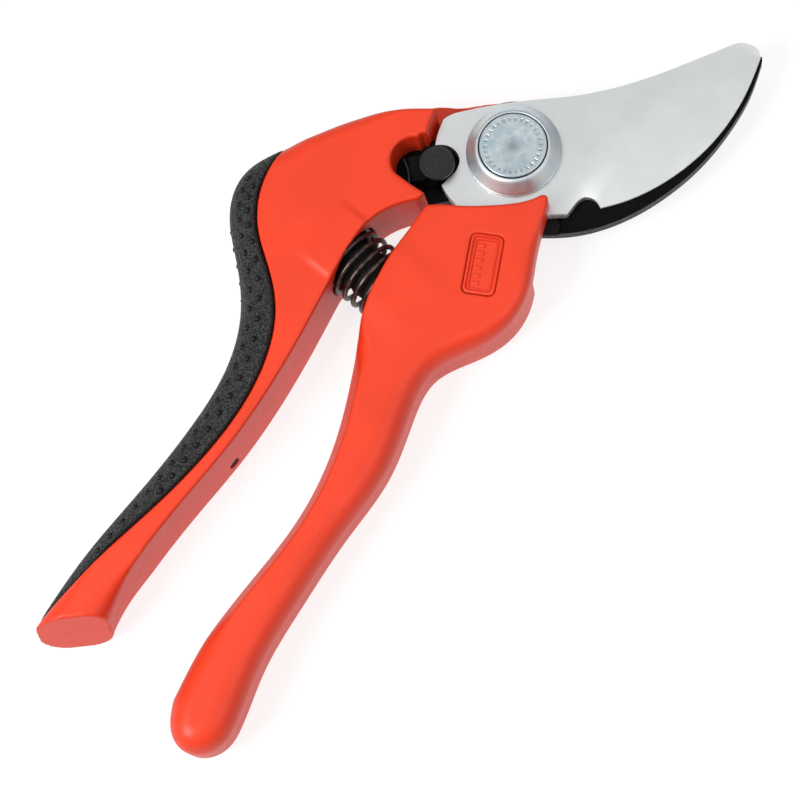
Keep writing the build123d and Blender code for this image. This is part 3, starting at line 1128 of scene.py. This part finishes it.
def badge_points():
    """Rows of the badge insert: nested rounded rectangles and their levels."""
    face = MID + SHELL
    return (
        (0.16, face - 0.85), (0.16, face - 0.2), (0.34, face - 0.1), (0.62, face - 0.1),
        (0.74, face - 0.55), (1.0, face - 0.55), (1.1, face - 0.3), (1.35, face - 0.3),
        (1.5, face - 0.62),
    )


# ---- blades --------------------------------------------------------------------------

TANG_R = 18.0  # end of the cutting blade's tang, from the pivot
EYE_RIM_R = 13.4  # eye of the counter blade
GRIND_WIDTH = 15.5  # reach of the hollow grind from the edge
EDGE_THICK = 0.45  # what the grind leaves at the edge


def blade_rim():
    """Cutting blade: back, rounded tip, edge, sap notch and tang."""
    edge = blade_edge()
    return outline(
        spline((2.3, 13.2), (9.6, 7.5), (19.8, -1.4), (31.5, -9.0), (40.1, -13.2),
               (51.3, -17.7)),
        spline((51.3, -17.7), (53.5, -18.8), (54.9, -20.7), (55.3, -22.7), (54.3, -24.5)),
        edge,
        spline((4, -22.9), (4.4, -21.4), (4.0, -19.9), (2.9, -18.8), (1.1, -18.5)),
        line((1.1, -18.5), (-2.6, -19.0), (-8, -13.8), (-22, -20), (-32, -21), (-36.5, -16.5),
             (-32, -10), (-24, -1), polar(TANG_R, 177)),
        arc(TANG_R, 177, 159.0),
        line((-16.8, 6.45), (-12.2, 6.45)),
        spline((-12.2, 6.45), (-9.9, 7.6), (-8.9, 10.2), (-9.6, 12.6), polar(TANG_R, 128)),
        arc(TANG_R, 128, 107),
        spline(polar(TANG_R, 107), (-3.7, 16.9), (-0.8, 15.3), (2.3, 13.2)),
    )


def blade_edge():
    """Ground edge, from the tip to the sap notch."""
    return spline((54.3, -24.5), (47.9, -27.2), (42.9, -28.8), (34.8, -30.3), (28.1, -30.5),
                  (16.9, -28.8), (7.8, -25.2), (4, -22.9))


def hook_rim():
    """Counter blade: eye, crescent and the tang held in the upper handle."""
    c, s = math.cos(math.radians(LOCK_ANGLE)), math.sin(math.radians(LOCK_ANGLE))

    def tang(along, across):
        return along * c - across * s, along * s + across * c

    return outline(
        arc(EYE_RIM_R, 40, 104),
        line(polar(EYE_RIM_R, 104), tang(14.0, -7.5), tang(35, -7.5), tang(37, -5), tang(37, 5),
             tang(35, 7.5), tang(14.0, 7.5), polar(EYE_RIM_R, 186)),
        arc(EYE_RIM_R, 186, 206),
        spline(polar(EYE_RIM_R, 206), (-13.0, -10.4), (-9.4, -17.0), (-3, -23.1), (5.1, -27.7),
               (15, -30.7), (26.8, -31.9), (38, -30.8), (46.8, -28.5), (54.2, -25.1)),
        spline((54.2, -25.1), (54.9, -24.3), (54.0, -23.6)),
        spline((54.0, -23.6), (44, -24.2), (32, -24.3), (22, -21.4), (14.5, -15.2), (10.6, -8.2)),
        arc(EYE_RIM_R, -37.7, 40),
    )


# ---- user settings -------------------------------------------------------------------


class ShearsSettings(PropertyGroup):
    """Sizes and colours that a user may change."""

    mould_pitch: FloatProperty(
        name="Moulding pitch", description="Size of the faces on the mouldings", default=0.00045,
        min=0.0003, max=0.0015, subtype="DISTANCE", unit="LENGTH")
    wire_radius: FloatProperty(
        name="Wire radius", description="Half the thickness of the spring's wire",
        default=0.0006, subtype="DISTANCE", unit="LENGTH")
    coil_radius: FloatProperty(
        name="Coil radius", description="Radius of the spring to the middle of its wire",
        default=0.0076, subtype="DISTANCE", unit="LENGTH")
    coil_turns: FloatProperty(
        name="Coil turns", description="Turns of the main spring", default=8.9)
    stud_radius: FloatProperty(
        name="Stud radius", description="Radius of the raised dots on the soft pad",
        default=0.00072, subtype="DISTANCE", unit="LENGTH")
    stud_count: IntProperty(
        name="Studs", description="Raised dots in each row of the soft pad", default=27)
    handle_colour: FloatVectorProperty(
        name="Handle", description="Colour of the composite mouldings", subtype="COLOR",
        default=(0.86, 0.050, 0.012))
    pad_colour: FloatVectorProperty(
        name="Pad", description="Colour of the soft grip", subtype="COLOR",
        default=(0.017, 0.0175, 0.018))


# ---- pieces as operators -------------------------------------------------------------


class SHEARS_OT_upper_handle(Operator):
    """Mould the upper handle and its soft pad"""

    bl_idname = "shears.upper_handle"
    bl_label = "Upper handle and pad"

    def execute(self, context):
        shape = UpperShape()
        pitch = settings().mould_pitch / MM
        low = (*(shape.low - 1), -0.6)
        core_high = (EYE_R + 1, shape.high[1] + 1, THICK + 0.7)
        handle = moulded("upper_handle_moulding", shape.core, low, core_high, pitch)
        finished(handle, "upper", "orange_composite", composite(), "upper_handle")
        pad_high = (PAD_START[0] + 2, shape.high[1] + 1, THICK + 0.7)
        pad = moulded("soft_pad_moulding", shape.pad, low, pad_high, pitch)
        finished(pad, "upper", "grip_elastomer", elastomer(), "soft_grip_pad")
        self.add_studs(shape)
        self.add_hole_shade_plug()
        return {"FINISHED"}

    @staticmethod
    def add_hole_shade_plug():
        """Black plug sunk in the palm side's small hole: a dark piece put there as painted shade
        of the hole.
        """
        profile = [Vector((0, 0))] + rounded_profile(
            [(0.1, 0), (1.45, 0), (1.45, 2.4), (0.8, 2.6), (0.1, 2.5)], 0.1) + [Vector((0, 2.5))]
        plug = turned("hole_shade_plug", profile, count=32)
        place = Matrix.Translation((DRAIN + Vector((0, 0.15, 0))) * MM)
        plug.data.transform(place @ Matrix.Rotation(math.radians(-90), 4, "X"))
        finished(plug, "upper", "black_plastic", pocket_plastic())

    @staticmethod
    def add_studs(shape):
        """Raised dots in rows over the pad's front, edge and rear."""
        back = upper_runs()[1]
        steps = np.r_[0, np.cumsum(np.hypot(*np.diff(back, axis=0).T))]
        count = settings().stud_count
        points = []
        rows = ((2.4, 1), (5.0, 1), (0.2, 0), (2.4, -1), (5.0, -1))
        for row, (inset, side) in enumerate(rows):
            places = np.linspace(12, steps[-1] - 9, count) + (row % 2) * 2.2
            inner = np.stack([np.interp(places, steps, back[:, k]) for k in (0, 1)], 1)
            ahead = np.stack([np.interp(places + 0.5, steps, back[:, k]) for k in (0, 1)], 1)
            along = (ahead - inner) / np.hypot(*(ahead - inner).T)[:, None]
            # The back runs from the head to the butt, so its left side is inside.
            spot = inner + np.stack([-along[:, 1], along[:, 0]], 1) * inset
            keep = shape.pad_side(*spot.T) < -1.3
            level = MID + side * (SHELL - 0.4)
            points.append(np.column_stack([spot[keep], np.full(keep.sum(), level)]))
        points = settled(shape.pad, np.concatenate(points), rounds=12, limit=0.6)
        normal = slope(shape.pad, points)
        normal /= np.linalg.norm(normal, axis=1)[:, None]
        seeds = add_piece("pad_stud_seeds", points, [])
        attribute = seeds.data.attributes.new("outward", "FLOAT_VECTOR", "POINT")
        attribute.data.foreach_set("vector", normal.astype(np.float32).ravel())
        studs = geometry_nodes(seeds, "pad_studs", stud_tree(), {
            "Stud Radius": settings().stud_radius, "Flatness": 0.85, "Finish": stud_elastomer()})
        finished(studs, "upper", "grip_elastomer", None)


class SHEARS_OT_lower_handle(Operator):
    """Mould the lower handle and set the badge into its face"""

    bl_idname = "shears.lower_handle"
    bl_label = "Lower handle and badge"

    def execute(self, context):
        shape = LowerShape()
        low = (*(shape.low - 1), -0.6)
        high = (*(shape.high + 1), THICK + 0.7)
        pitch = settings().mould_pitch / MM
        handle = moulded("lower_handle_moulding", shape.field, low, high, pitch)
        finished(handle, "lower", "orange_composite", composite(), "lower_handle")
        self.add_badge()
        return {"FINISHED"}

    @staticmethod
    def add_badge():
        """Blank badge: two raised frames round a sunk field with plain short bars."""

        def ring(inset, level, per_corner=8):
            half_u, half_v = BADGE_HALF[0] - inset, BADGE_HALF[1] - inset
            radius = max(1.4 - inset * 0.6, 0.3)
            points = []
            for quarter, (su, sv) in enumerate(CORNER_SIGNS):
                centre = (su * (half_u - radius), sv * (half_v - radius))
                for i in range(per_corner + 1):
                    points.append(polar(radius, 90 * quarter + 90 * i / per_corner, centre))
            return [placed(u, v, level) for u, v in points]

        def placed(u, v, level):
            c, s = math.cos(BADGE_TURN), math.sin(BADGE_TURN)
            return BADGE[0] + u * c - v * s, BADGE[1] + u * s + v * c, level

        rows = [ring(inset, level) for inset, level in badge_points()]
        count = len(rows[0])
        points = [p for row in rows for p in row]
        faces = skin([list(range(r * count, (r + 1) * count)) for r in range(len(rows))])
        last = (len(rows) - 1) * count
        faces.append(tuple(range(last, last + count)))
        faces.append(tuple(reversed(range(count))))
        floor = badge_points()[-1][1]
        for k in range(BADGE_BARS):
            spot = ((k - (BADGE_BARS - 1) / 2) * BAR_PITCH, 1.05)
            bar_points, bar_faces = raised_bar(placed, *spot, floor)
            faces += [tuple(i + len(points) for i in face) for face in bar_faces]
            points += bar_points
        badge = sharpened(add_piece("blank_badge", points, faces), 40)
        finished(badge, "lower", "orange_composite", composite())


CORNER_SIGNS = ((1, 1), (-1, 1), (-1, -1), (1, -1))


def raised_bar(placed, u, v, floor, half_u=0.5, half_v=0.85):
    """Corners and faces of a small raised bar on the badge's floor."""
    points = []
    for rise, shrink in ((-0.05, 0.0), (0.22, 0.04), (0.28, 0.14)):
        for su, sv in CORNER_SIGNS:
            points.append(placed(u + su * (half_u - shrink), v + sv * (half_v - shrink),
                                 floor + rise))
    rows = [range(4), range(4, 8), range(8, 12)]
    return points, [tuple(rows[2]), tuple(reversed(rows[0]))] + skin(rows)


class SHEARS_OT_cutting_blade(Operator):
    """Grind the cutting blade"""

    bl_idname = "shears.cutting_blade"
    bl_label = "Cutting blade"

    def execute(self, context):
        rim = blade_rim()
        run_on = line((4, -22.9), (-12, -13.5))
        edge = plan_distance(joined(blade_edge(), run_on), rim, closed=False)
        ground = plan_distance(outline(
            spline((24, 6), (14.3, -11.0), (6.6, -12.6), (-3.5, -17.4), (-10, -24)),
            line((-10, -24), (-10, -50), (80, -50), (80, 6), (24, 6))), rim)
        thick = BLADE_TOP - SHEAR_Z

        def top(x, y):
            hollow = (1 - np.clip(edge(x, y) / GRIND_WIDTH, 0, 1)) ** 1.4
            ramp = smooth_step(0.4, -9.0, ground(x, y))
            return BLADE_TOP - (thick - EDGE_THICK) * hollow * ramp

        def bottom(x, y):
            return SHEAR_Z + 0.02 + 0 * x

        holes = [outline(arc(BORE_R, 0, 357))]
        blade, faces = plate("cutting_blade_ground", rim, holes, top, bottom, 0.12, 0.55)
        blade.data.materials.append(ground_steel())
        blade.data.materials.append(ground_edge())
        paint_walls(blade, faces)
        finished(blade, "lower", "blade_steel", None, "cutting_blade")
        return {"FINISHED"}


def paint_walls(piece, first):
    """Give the plate's walls its second finish."""
    for face in piece.data.polygons[first:]:
        face.material_index = 1


class SHEARS_OT_counter_blade(Operator):
    """Cut the counter blade"""

    bl_idname = "shears.counter_blade"
    bl_label = "Counter blade"

    def execute(self, context):
        rim = hook_rim()
        centre_in, centre_out = polar(SLOT_IN, LOCK_ANGLE), polar(SLOT_OUT, LOCK_ANGLE)
        slot = outline(arc(1.8, LOCK_ANGLE - 90, LOCK_ANGLE + 90, centre_out),
                       arc(1.8, LOCK_ANGLE + 90, LOCK_ANGLE + 270, centre_in))
        holes = [outline(arc(BORE_R, 0, 357)), slot]
        seat = plan_distance(outline(line(
            (-3.4, -16.2), (-4.6, -18.9), (-7.2, -20.2), (-9.6, -20.5), (-12.6, -14.6),
            (-8, -12.2), (-3.4, -16.2))), rim)

        def top(x, y):
            return COUNTER_TOP - 0.03 - 1.27 * smooth_step(0.12, -0.12, seat(x, y))

        def bottom(x, y):
            return COUNTER_LOW + 0 * x

        hook, faces = plate("counter_blade_coated", rim, holes, top, bottom, 0.25, 0.6)
        hook.data.materials.append(black_coat())
        hook.data.materials.append(coat_wall())
        paint_walls(hook, faces)
        finished(hook, "upper", "coated_steel", None, "counter_blade")
        return {"FINISHED"}


class SHEARS_OT_pivot(Operator):
    """Turn the pivot's collar, bolt and nut"""

    bl_idname = "shears.pivot"
    bl_label = "Pivot hardware"

    def execute(self, context):
        self.add_collar()
        self.add_bolt()
        self.add_nut()
        return {"FINISHED"}

    @staticmethod
    def add_collar():
        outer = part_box("pivot_collar")[1].x / MM
        base = COLLAR_BASE
        profile = rounded_profile([
            (4.3, base), (outer, base), (outer, base + 0.75), (8.75, COLLAR_TOP - 0.35),
            (8.3, COLLAR_TOP), (7.85, COLLAR_TOP), (7.8, HEAD_SEAT), (4.3, HEAD_SEAT),
            (4.3, base + 0.02)], 0.35)
        collar = turned("pivot_collar_turned", profile, count=160)
        finished(collar, "upper", "zinc_steel", zinc(), "pivot_collar")

    @staticmethod
    def add_bolt():
        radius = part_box("center_bolt")[1].x / MM
        top = BOLT_TOP
        profile = [Vector((0, top - 0.2))] + rounded_profile([
            (0.4, top - 0.2), (4.6, top - 0.05), (7.0, top), (radius - 0.15, top),
            (radius, top - 0.2), (radius, HEAD_SEAT), (BOLT_R, HEAD_SEAT), (BOLT_R, 0.35),
            (2.6, 0.0)], 0.12) + [Vector((0, 0.0))]
        bolt = turned("center_bolt_turned", profile, count=160, crease=40)
        finished(bolt, "upper", "zinc_steel", turned_face(), "center_bolt")

    @staticmethod
    def add_nut():
        """Hexagon nut with turned chamfers at both faces."""
        flats = 5.0
        points, rows = [], []
        section = ((BOLT_R, 0.35), (3.25, 0.0), (4.75, 0.0), (None, 0.45),
                   (None, NUT_TOP - 0.3), (4.9, NUT_TOP), (BOLT_R, NUT_TOP))
        count = 72
        for radius, level in section:
            row = []
            for i in range(count):
                degrees = 360 * i / count
                fold = (degrees + 30) % 60 - 30
                hexagon = flats / math.cos(math.radians(fold))
                reach = hexagon if radius is None else min(radius, hexagon)
                row.append(len(points))
                points.append((*polar(reach, degrees + 90), level))
            rows.append(row)
        faces = skin(rows, closed=True)
        nut = turned_outwards(add_piece("pivot_nut_cut", points, faces))
        finished(sharpened(nut, 25), "upper", "zinc_steel", zinc(), "pivot_nut")


def geometry_nodes(piece, name, tree, inputs):
    """Plain mesh that a Geometry Nodes tree makes from a piece, with inputs by name."""
    modifier = piece.modifiers.new(tree.name, "NODES")
    modifier.node_group = tree
    for item in tree.interface.items_tree:
        if item.item_type == "SOCKET" and item.in_out == "INPUT" and item.name in inputs:
            modifier[item.identifier] = inputs[item.name]
    depsgraph = bpy.context.evaluated_depsgraph_get()
    mesh = bpy.data.meshes.new_from_object(piece.evaluated_get(depsgraph), depsgraph=depsgraph)
    mesh.name = name
    if mesh.materials[0] is None:
        mesh.materials.pop(index=0)
    made = bpy.data.objects.new(name, mesh)
    bpy.context.scene.collection.objects.link(made)
    seed_mesh = piece.data
    bpy.data.objects.remove(piece)
    bpy.data.meshes.remove(seed_mesh)
    return made


def new_tree(name, inputs):
    """Geometry tree with the usual ends and named inputs of (name, socket type, default)."""
    tree = bpy.data.node_groups.new(name, "GeometryNodeTree")
    tree.interface.new_socket("Geometry", in_out="INPUT", socket_type="NodeSocketGeometry")
    tree.interface.new_socket("Geometry", in_out="OUTPUT", socket_type="NodeSocketGeometry")
    for label, kind, default in inputs:
        socket = tree.interface.new_socket(label, in_out="INPUT", socket_type=kind)
        if default is not None:
            socket.default_value = default
    graph = Graph(tree)
    return graph, graph.add("NodeGroupInput"), graph.add("NodeGroupOutput")


def close_tree(graph, start, end, geometry):
    """Realize, shade smooth and set the finish, as every tree here ends."""
    real = graph.add("GeometryNodeRealizeInstances", {}, {0: geometry})
    smooth = graph.add("GeometryNodeSetShadeSmooth", {}, {0: real.outputs[0]})
    coated = graph.add("GeometryNodeSetMaterial", {}, {
        "Geometry": smooth.outputs[0], "Material": start.outputs["Finish"]})
    graph.tree.links.new(coated.outputs[0], end.inputs[0])
    return graph.tree


def stud_tree():
    """A low dome on every point, its pole along the point's outward attribute."""
    graph, start, end = new_tree("Pad studs", (
        ("Stud Radius", "NodeSocketFloat", 0.0006), ("Flatness", "NodeSocketFloat", 0.4),
        ("Finish", "NodeSocketMaterial", None)))
    dome = graph.add("GeometryNodeMeshUVSphere", {}, {
        "Segments": 12, "Rings": 8, "Radius": start.outputs["Stud Radius"]})
    outward = graph.add("GeometryNodeInputNamedAttribute", {"data_type": "FLOAT_VECTOR"},
                        {"Name": "outward"})
    turn = graph.add("FunctionNodeAlignRotationToVector", {"axis": "Z"},
                     {"Vector": outward.outputs[0]})
    squat = graph.add("ShaderNodeCombineXYZ", {}, {0: 1.0, 1: 1.0, 2: start.outputs["Flatness"]})
    placed = graph.add("GeometryNodeInstanceOnPoints", {}, {
        "Points": start.outputs[0], "Instance": dome.outputs["Mesh"],
        "Rotation": turn.outputs[0], "Scale": squat.outputs[0]})
    return close_tree(graph, start, end, placed.outputs[0])


def coil_tree():
    """Wound wire along Z, then turned and moved to where the spring lies."""
    graph, start, end = new_tree("Wound spring", (
        ("Turns", "NodeSocketFloat", 6.0), ("Coil Radius", "NodeSocketFloat", 0.0066),
        ("Wire Radius", "NodeSocketFloat", 0.0007), ("Length", "NodeSocketFloat", 0.02),
        ("Place", "NodeSocketVector", None), ("Turn", "NodeSocketRotation", None),
        ("Finish", "NodeSocketMaterial", None)))
    spiral = graph.add("GeometryNodeCurveSpiral", {}, {
        "Resolution": 48, "Rotations": start.outputs["Turns"],
        "Start Radius": start.outputs["Coil Radius"], "End Radius": start.outputs["Coil Radius"],
        "Height": start.outputs["Length"]})
    section = graph.add("GeometryNodeCurvePrimitiveCircle", {"mode": "RADIUS"}, {
        "Resolution": 14, "Radius": start.outputs["Wire Radius"]})
    swept = graph.add("GeometryNodeCurveToMesh", {}, {
        "Curve": spiral.outputs[0], "Profile Curve": section.outputs["Curve"], "Fill Caps": True})
    placed = graph.add("GeometryNodeTransform", {}, {
        "Geometry": swept.outputs[0], "Translation": start.outputs["Place"],
        "Rotation": start.outputs["Turn"]})
    return close_tree(graph, start, end, placed.outputs[0])


class SHEARS_OT_main_spring(Operator):
    """Wind the main spring and set the rubber buffer inside it"""

    bl_idname = "shears.main_spring"
    bl_label = "Main spring and buffer"

    def execute(self, context):
        axis = SPRING_END - SPRING_START
        turn = axis.to_track_quat("Z", "X")
        seed = add_piece("spring_seed", [(0, 0, 0)], [])
        wire_radius = settings().wire_radius
        end_room = axis.normalized() * wire_radius * 1.2
        spring = geometry_nodes(seed, "main_spring_wound", coil_tree(), {
            "Turns": settings().coil_turns, "Coil Radius": settings().coil_radius,
            "Wire Radius": wire_radius, "Length": axis.length * MM - 2 * end_room.length,
            "Place": SPRING_START * MM + end_room, "Turn": turn.to_euler(), "Finish": wire()})
        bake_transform(spring)
        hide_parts("main_spring")
        self.add_buffer(turn)
        return {"FINISHED"}

    @staticmethod
    def add_buffer(turn):
        """Ribbed rubber core."""
        profile = [Vector((0, 0))] + rounded_profile([
            (0.1, 0), (5.6, 0), (5.6, 3.4), (5.2, 4.0), (5.2, 5.0), (5.6, 5.6), (5.6, 8.4),
            (5.2, 9.0), (5.2, 10.0), (5.6, 10.6), (5.4, 14.2), (4.2, 14.9), (0.1, 14.9),
        ], 0.5) + [Vector((0, 14.9))]
        buffer = turned("rubber_buffer_moulded", profile, count=48)
        buffer.data.transform(Matrix.Translation(SPRING_START * MM) @ turn.to_matrix().to_4x4())
        finished(buffer, "upper", "buffer_rubber", rubber(), "rubber_buffer")


class SHEARS_OT_lock(Operator):
    """Turn the lock's button"""

    bl_idname = "shears.lock"
    bl_label = "Lock"

    def execute(self, context):
        box_low, box_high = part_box("lock_button")
        radius = (box_high.x - box_low.x) / 2 / MM
        top, low = BUTTON_TOP, BUTTON_LOW
        rings = [(0.0, top - 0.10), (0.25, top - 0.12)]
        for k in range(1, 9):
            rings.append((k * 0.42 - 0.10, top - 0.06))
            rings.append((k * 0.42 + 0.10, top - 0.11))
        profile = [Vector(p) for p in rings] + rounded_profile([
            (radius - 0.42, top - 0.05), (radius - 0.10, top - 0.05), (radius, top - 0.2),
            (radius, low + 0.2), (radius - 0.2, low)], 0.1) + [Vector((0, low))]
        button = turned("lock_button_turned", profile, centre=BUTTON, count=96, crease=60)
        finished(button, "lock", "black_plastic", black_plastic(), "lock_button")
        return {"FINISHED"}


class SHEARS_OT_small_parts(Operator):
    """Give the small CAD parts their finishes"""

    bl_idname = "shears.small_parts"
    bl_label = "Small parts"

    def execute(self, context):
        finishes = {
            # The closing stop takes the black rubber finish as painted shade: it sits in deep
            # shade under the blade.
            rubber: ("closing_stop",),
            zinc: ("counter_blade_rivets", "cutting_blade_rivets", "pivot_bush",
                   "friction_washer", "spring_washer"),
            # The lock's slider, rivet and rear washer take the darker pocket finish: painted
            # shade.
            pocket_plastic: ("lock_slider", "lock_rivet", "lock_rear_washer"),
            leaf_steel: ("lock_spring",),
        }
        for finish, nodes in finishes.items():
            for node in nodes:
                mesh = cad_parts[node].data
                mesh.materials.clear()
                mesh.materials.append(finish())
        return {"FINISHED"}


class SHEARS_OT_stage(Operator):
    """Lay the floor, hang the lights and set up the camera"""

    bl_idname = "shears.stage"
    bl_label = "Stage"

    lens = 100.0
    sight = Vector((-107.90, -148.93, 481.32))
    azimuth = -21.3
    elevation = 73.8
    roll = -24.45

    def execute(self, context):
        scene = context.scene
        self.add_floor()
        self.add_lights(scene)
        self.add_camera(scene)
        scene.view_settings.view_transform = "Standard"
        return {"FINISHED"}

    @staticmethod
    def add_floor():
        """Flat pale sheet under the shears, faintly lit from within."""
        size = 1500.0
        floor = add_piece("studio_floor", [(-size, -size, 0), (size, -size, 0), (size, size, 0),
                                           (-size, size, 0)], [(0, 1, 2, 3)])
        finish = Finish("studio_paper", Roughness=0.9)
        finish.shader.inputs["Emission Color"].default_value = (1, 1, 1, 1)
        finish.shader.inputs["Emission Strength"].default_value = 0.80
        grain = finish.noise(40, 3)
        tone = finish.blend(grain, (0.23, 0.23, 0.23, 1), (0.26, 0.26, 0.26, 1))
        floor.data.materials.append(finish.done(base_color=tone))

    @staticmethod
    def add_lights(scene):
        world = bpy.data.worlds.new("studio_air")
        world.use_nodes = True
        background = world.node_tree.nodes["Background"]
        background.inputs["Color"].default_value = (1.0, 1.0, 1.0, 1)
        background.inputs["Strength"].default_value = 0.27
        scene.world = world
        lamps = (
            ("roof_softbox", (-0.02, 0.02, 0.85), 1.7, 3.7),
            ("key_softbox", (-0.62, 0.10, 0.62), 0.35, 5.0),
            ("fill_softbox", (0.25, -0.60, 0.60), 0.6, 1.2),
        )
        aim = Vector((-0.045, 0, 0))
        for name, place, size, power in lamps:
            light = bpy.data.lights.new(name, "AREA")
            light.shape = "DISK"
            light.size = size
            light.energy = power
            lamp = bpy.data.objects.new(name, light)
            lamp.location = place
            lamp.rotation_euler = (aim - Vector(place)).to_track_quat("-Z", "Y").to_euler()
            scene.collection.objects.link(lamp)

    def add_camera(self, scene):
        data = bpy.data.cameras.new("front_camera")
        data.lens = self.lens
        data.sensor_width = 36.0
        data.clip_start = 0.01
        data.clip_end = 20.0
        camera = bpy.data.objects.new("front_camera", data)
        az, el, roll = (math.radians(v) for v in (self.azimuth, self.elevation, self.roll))
        back = Vector((math.sin(az) * math.cos(el), -math.cos(az) * math.cos(el), math.sin(el)))
        right = Vector((0, 0, 1)).cross(back).normalized()
        up = back.cross(right)
        turned_right = right * math.cos(roll) + up * math.sin(roll)
        turned_up = up * math.cos(roll) - right * math.sin(roll)
        axes = Matrix((turned_right, turned_up, back)).transposed()
        camera.matrix_world = Matrix.Translation(self.sight * MM) @ axes.to_4x4()
        scene.collection.objects.link(camera)
        scene.camera = camera


PIECES = (
    SHEARS_OT_upper_handle, SHEARS_OT_lower_handle, SHEARS_OT_cutting_blade,
    SHEARS_OT_counter_blade, SHEARS_OT_pivot, SHEARS_OT_main_spring, SHEARS_OT_lock,
    SHEARS_OT_small_parts, SHEARS_OT_stage,
)


class SHEARS_PT_panel(Panel):
    """Lists the pieces and the sizes that shape them"""

    bl_idname = "SHEARS_PT_panel"
    bl_label = "Pruning shears"
    bl_space_type = "VIEW_3D"
    bl_region_type = "UI"
    bl_category = "Shears"

    def draw(self, context):
        column = self.layout.column()
        for name in ShearsSettings.__annotations__:
            column.prop(context.scene.pruning_shears, name)
        for piece in PIECES:
            column.operator(piece.bl_idname)


CLASSES = (ShearsSettings, *PIECES, SHEARS_PT_panel)


def register():
    for item in CLASSES:
        bpy.utils.register_class(item)
    bpy.types.Scene.pruning_shears = PointerProperty(type=ShearsSettings)


def unregister():
    del bpy.types.Scene.pruning_shears
    for item in reversed(CLASSES):
        bpy.utils.unregister_class(item)


def main():
    register()
    bpy.ops.shears.upper_handle()
    bpy.ops.shears.lower_handle()
    bpy.ops.shears.cutting_blade()
    bpy.ops.shears.counter_blade()
    bpy.ops.shears.pivot()
    bpy.ops.shears.main_spring()
    bpy.ops.shears.lock()
    bpy.ops.shears.small_parts()
    bpy.ops.shears.stage()


if __name__ == "__main__":
    main()
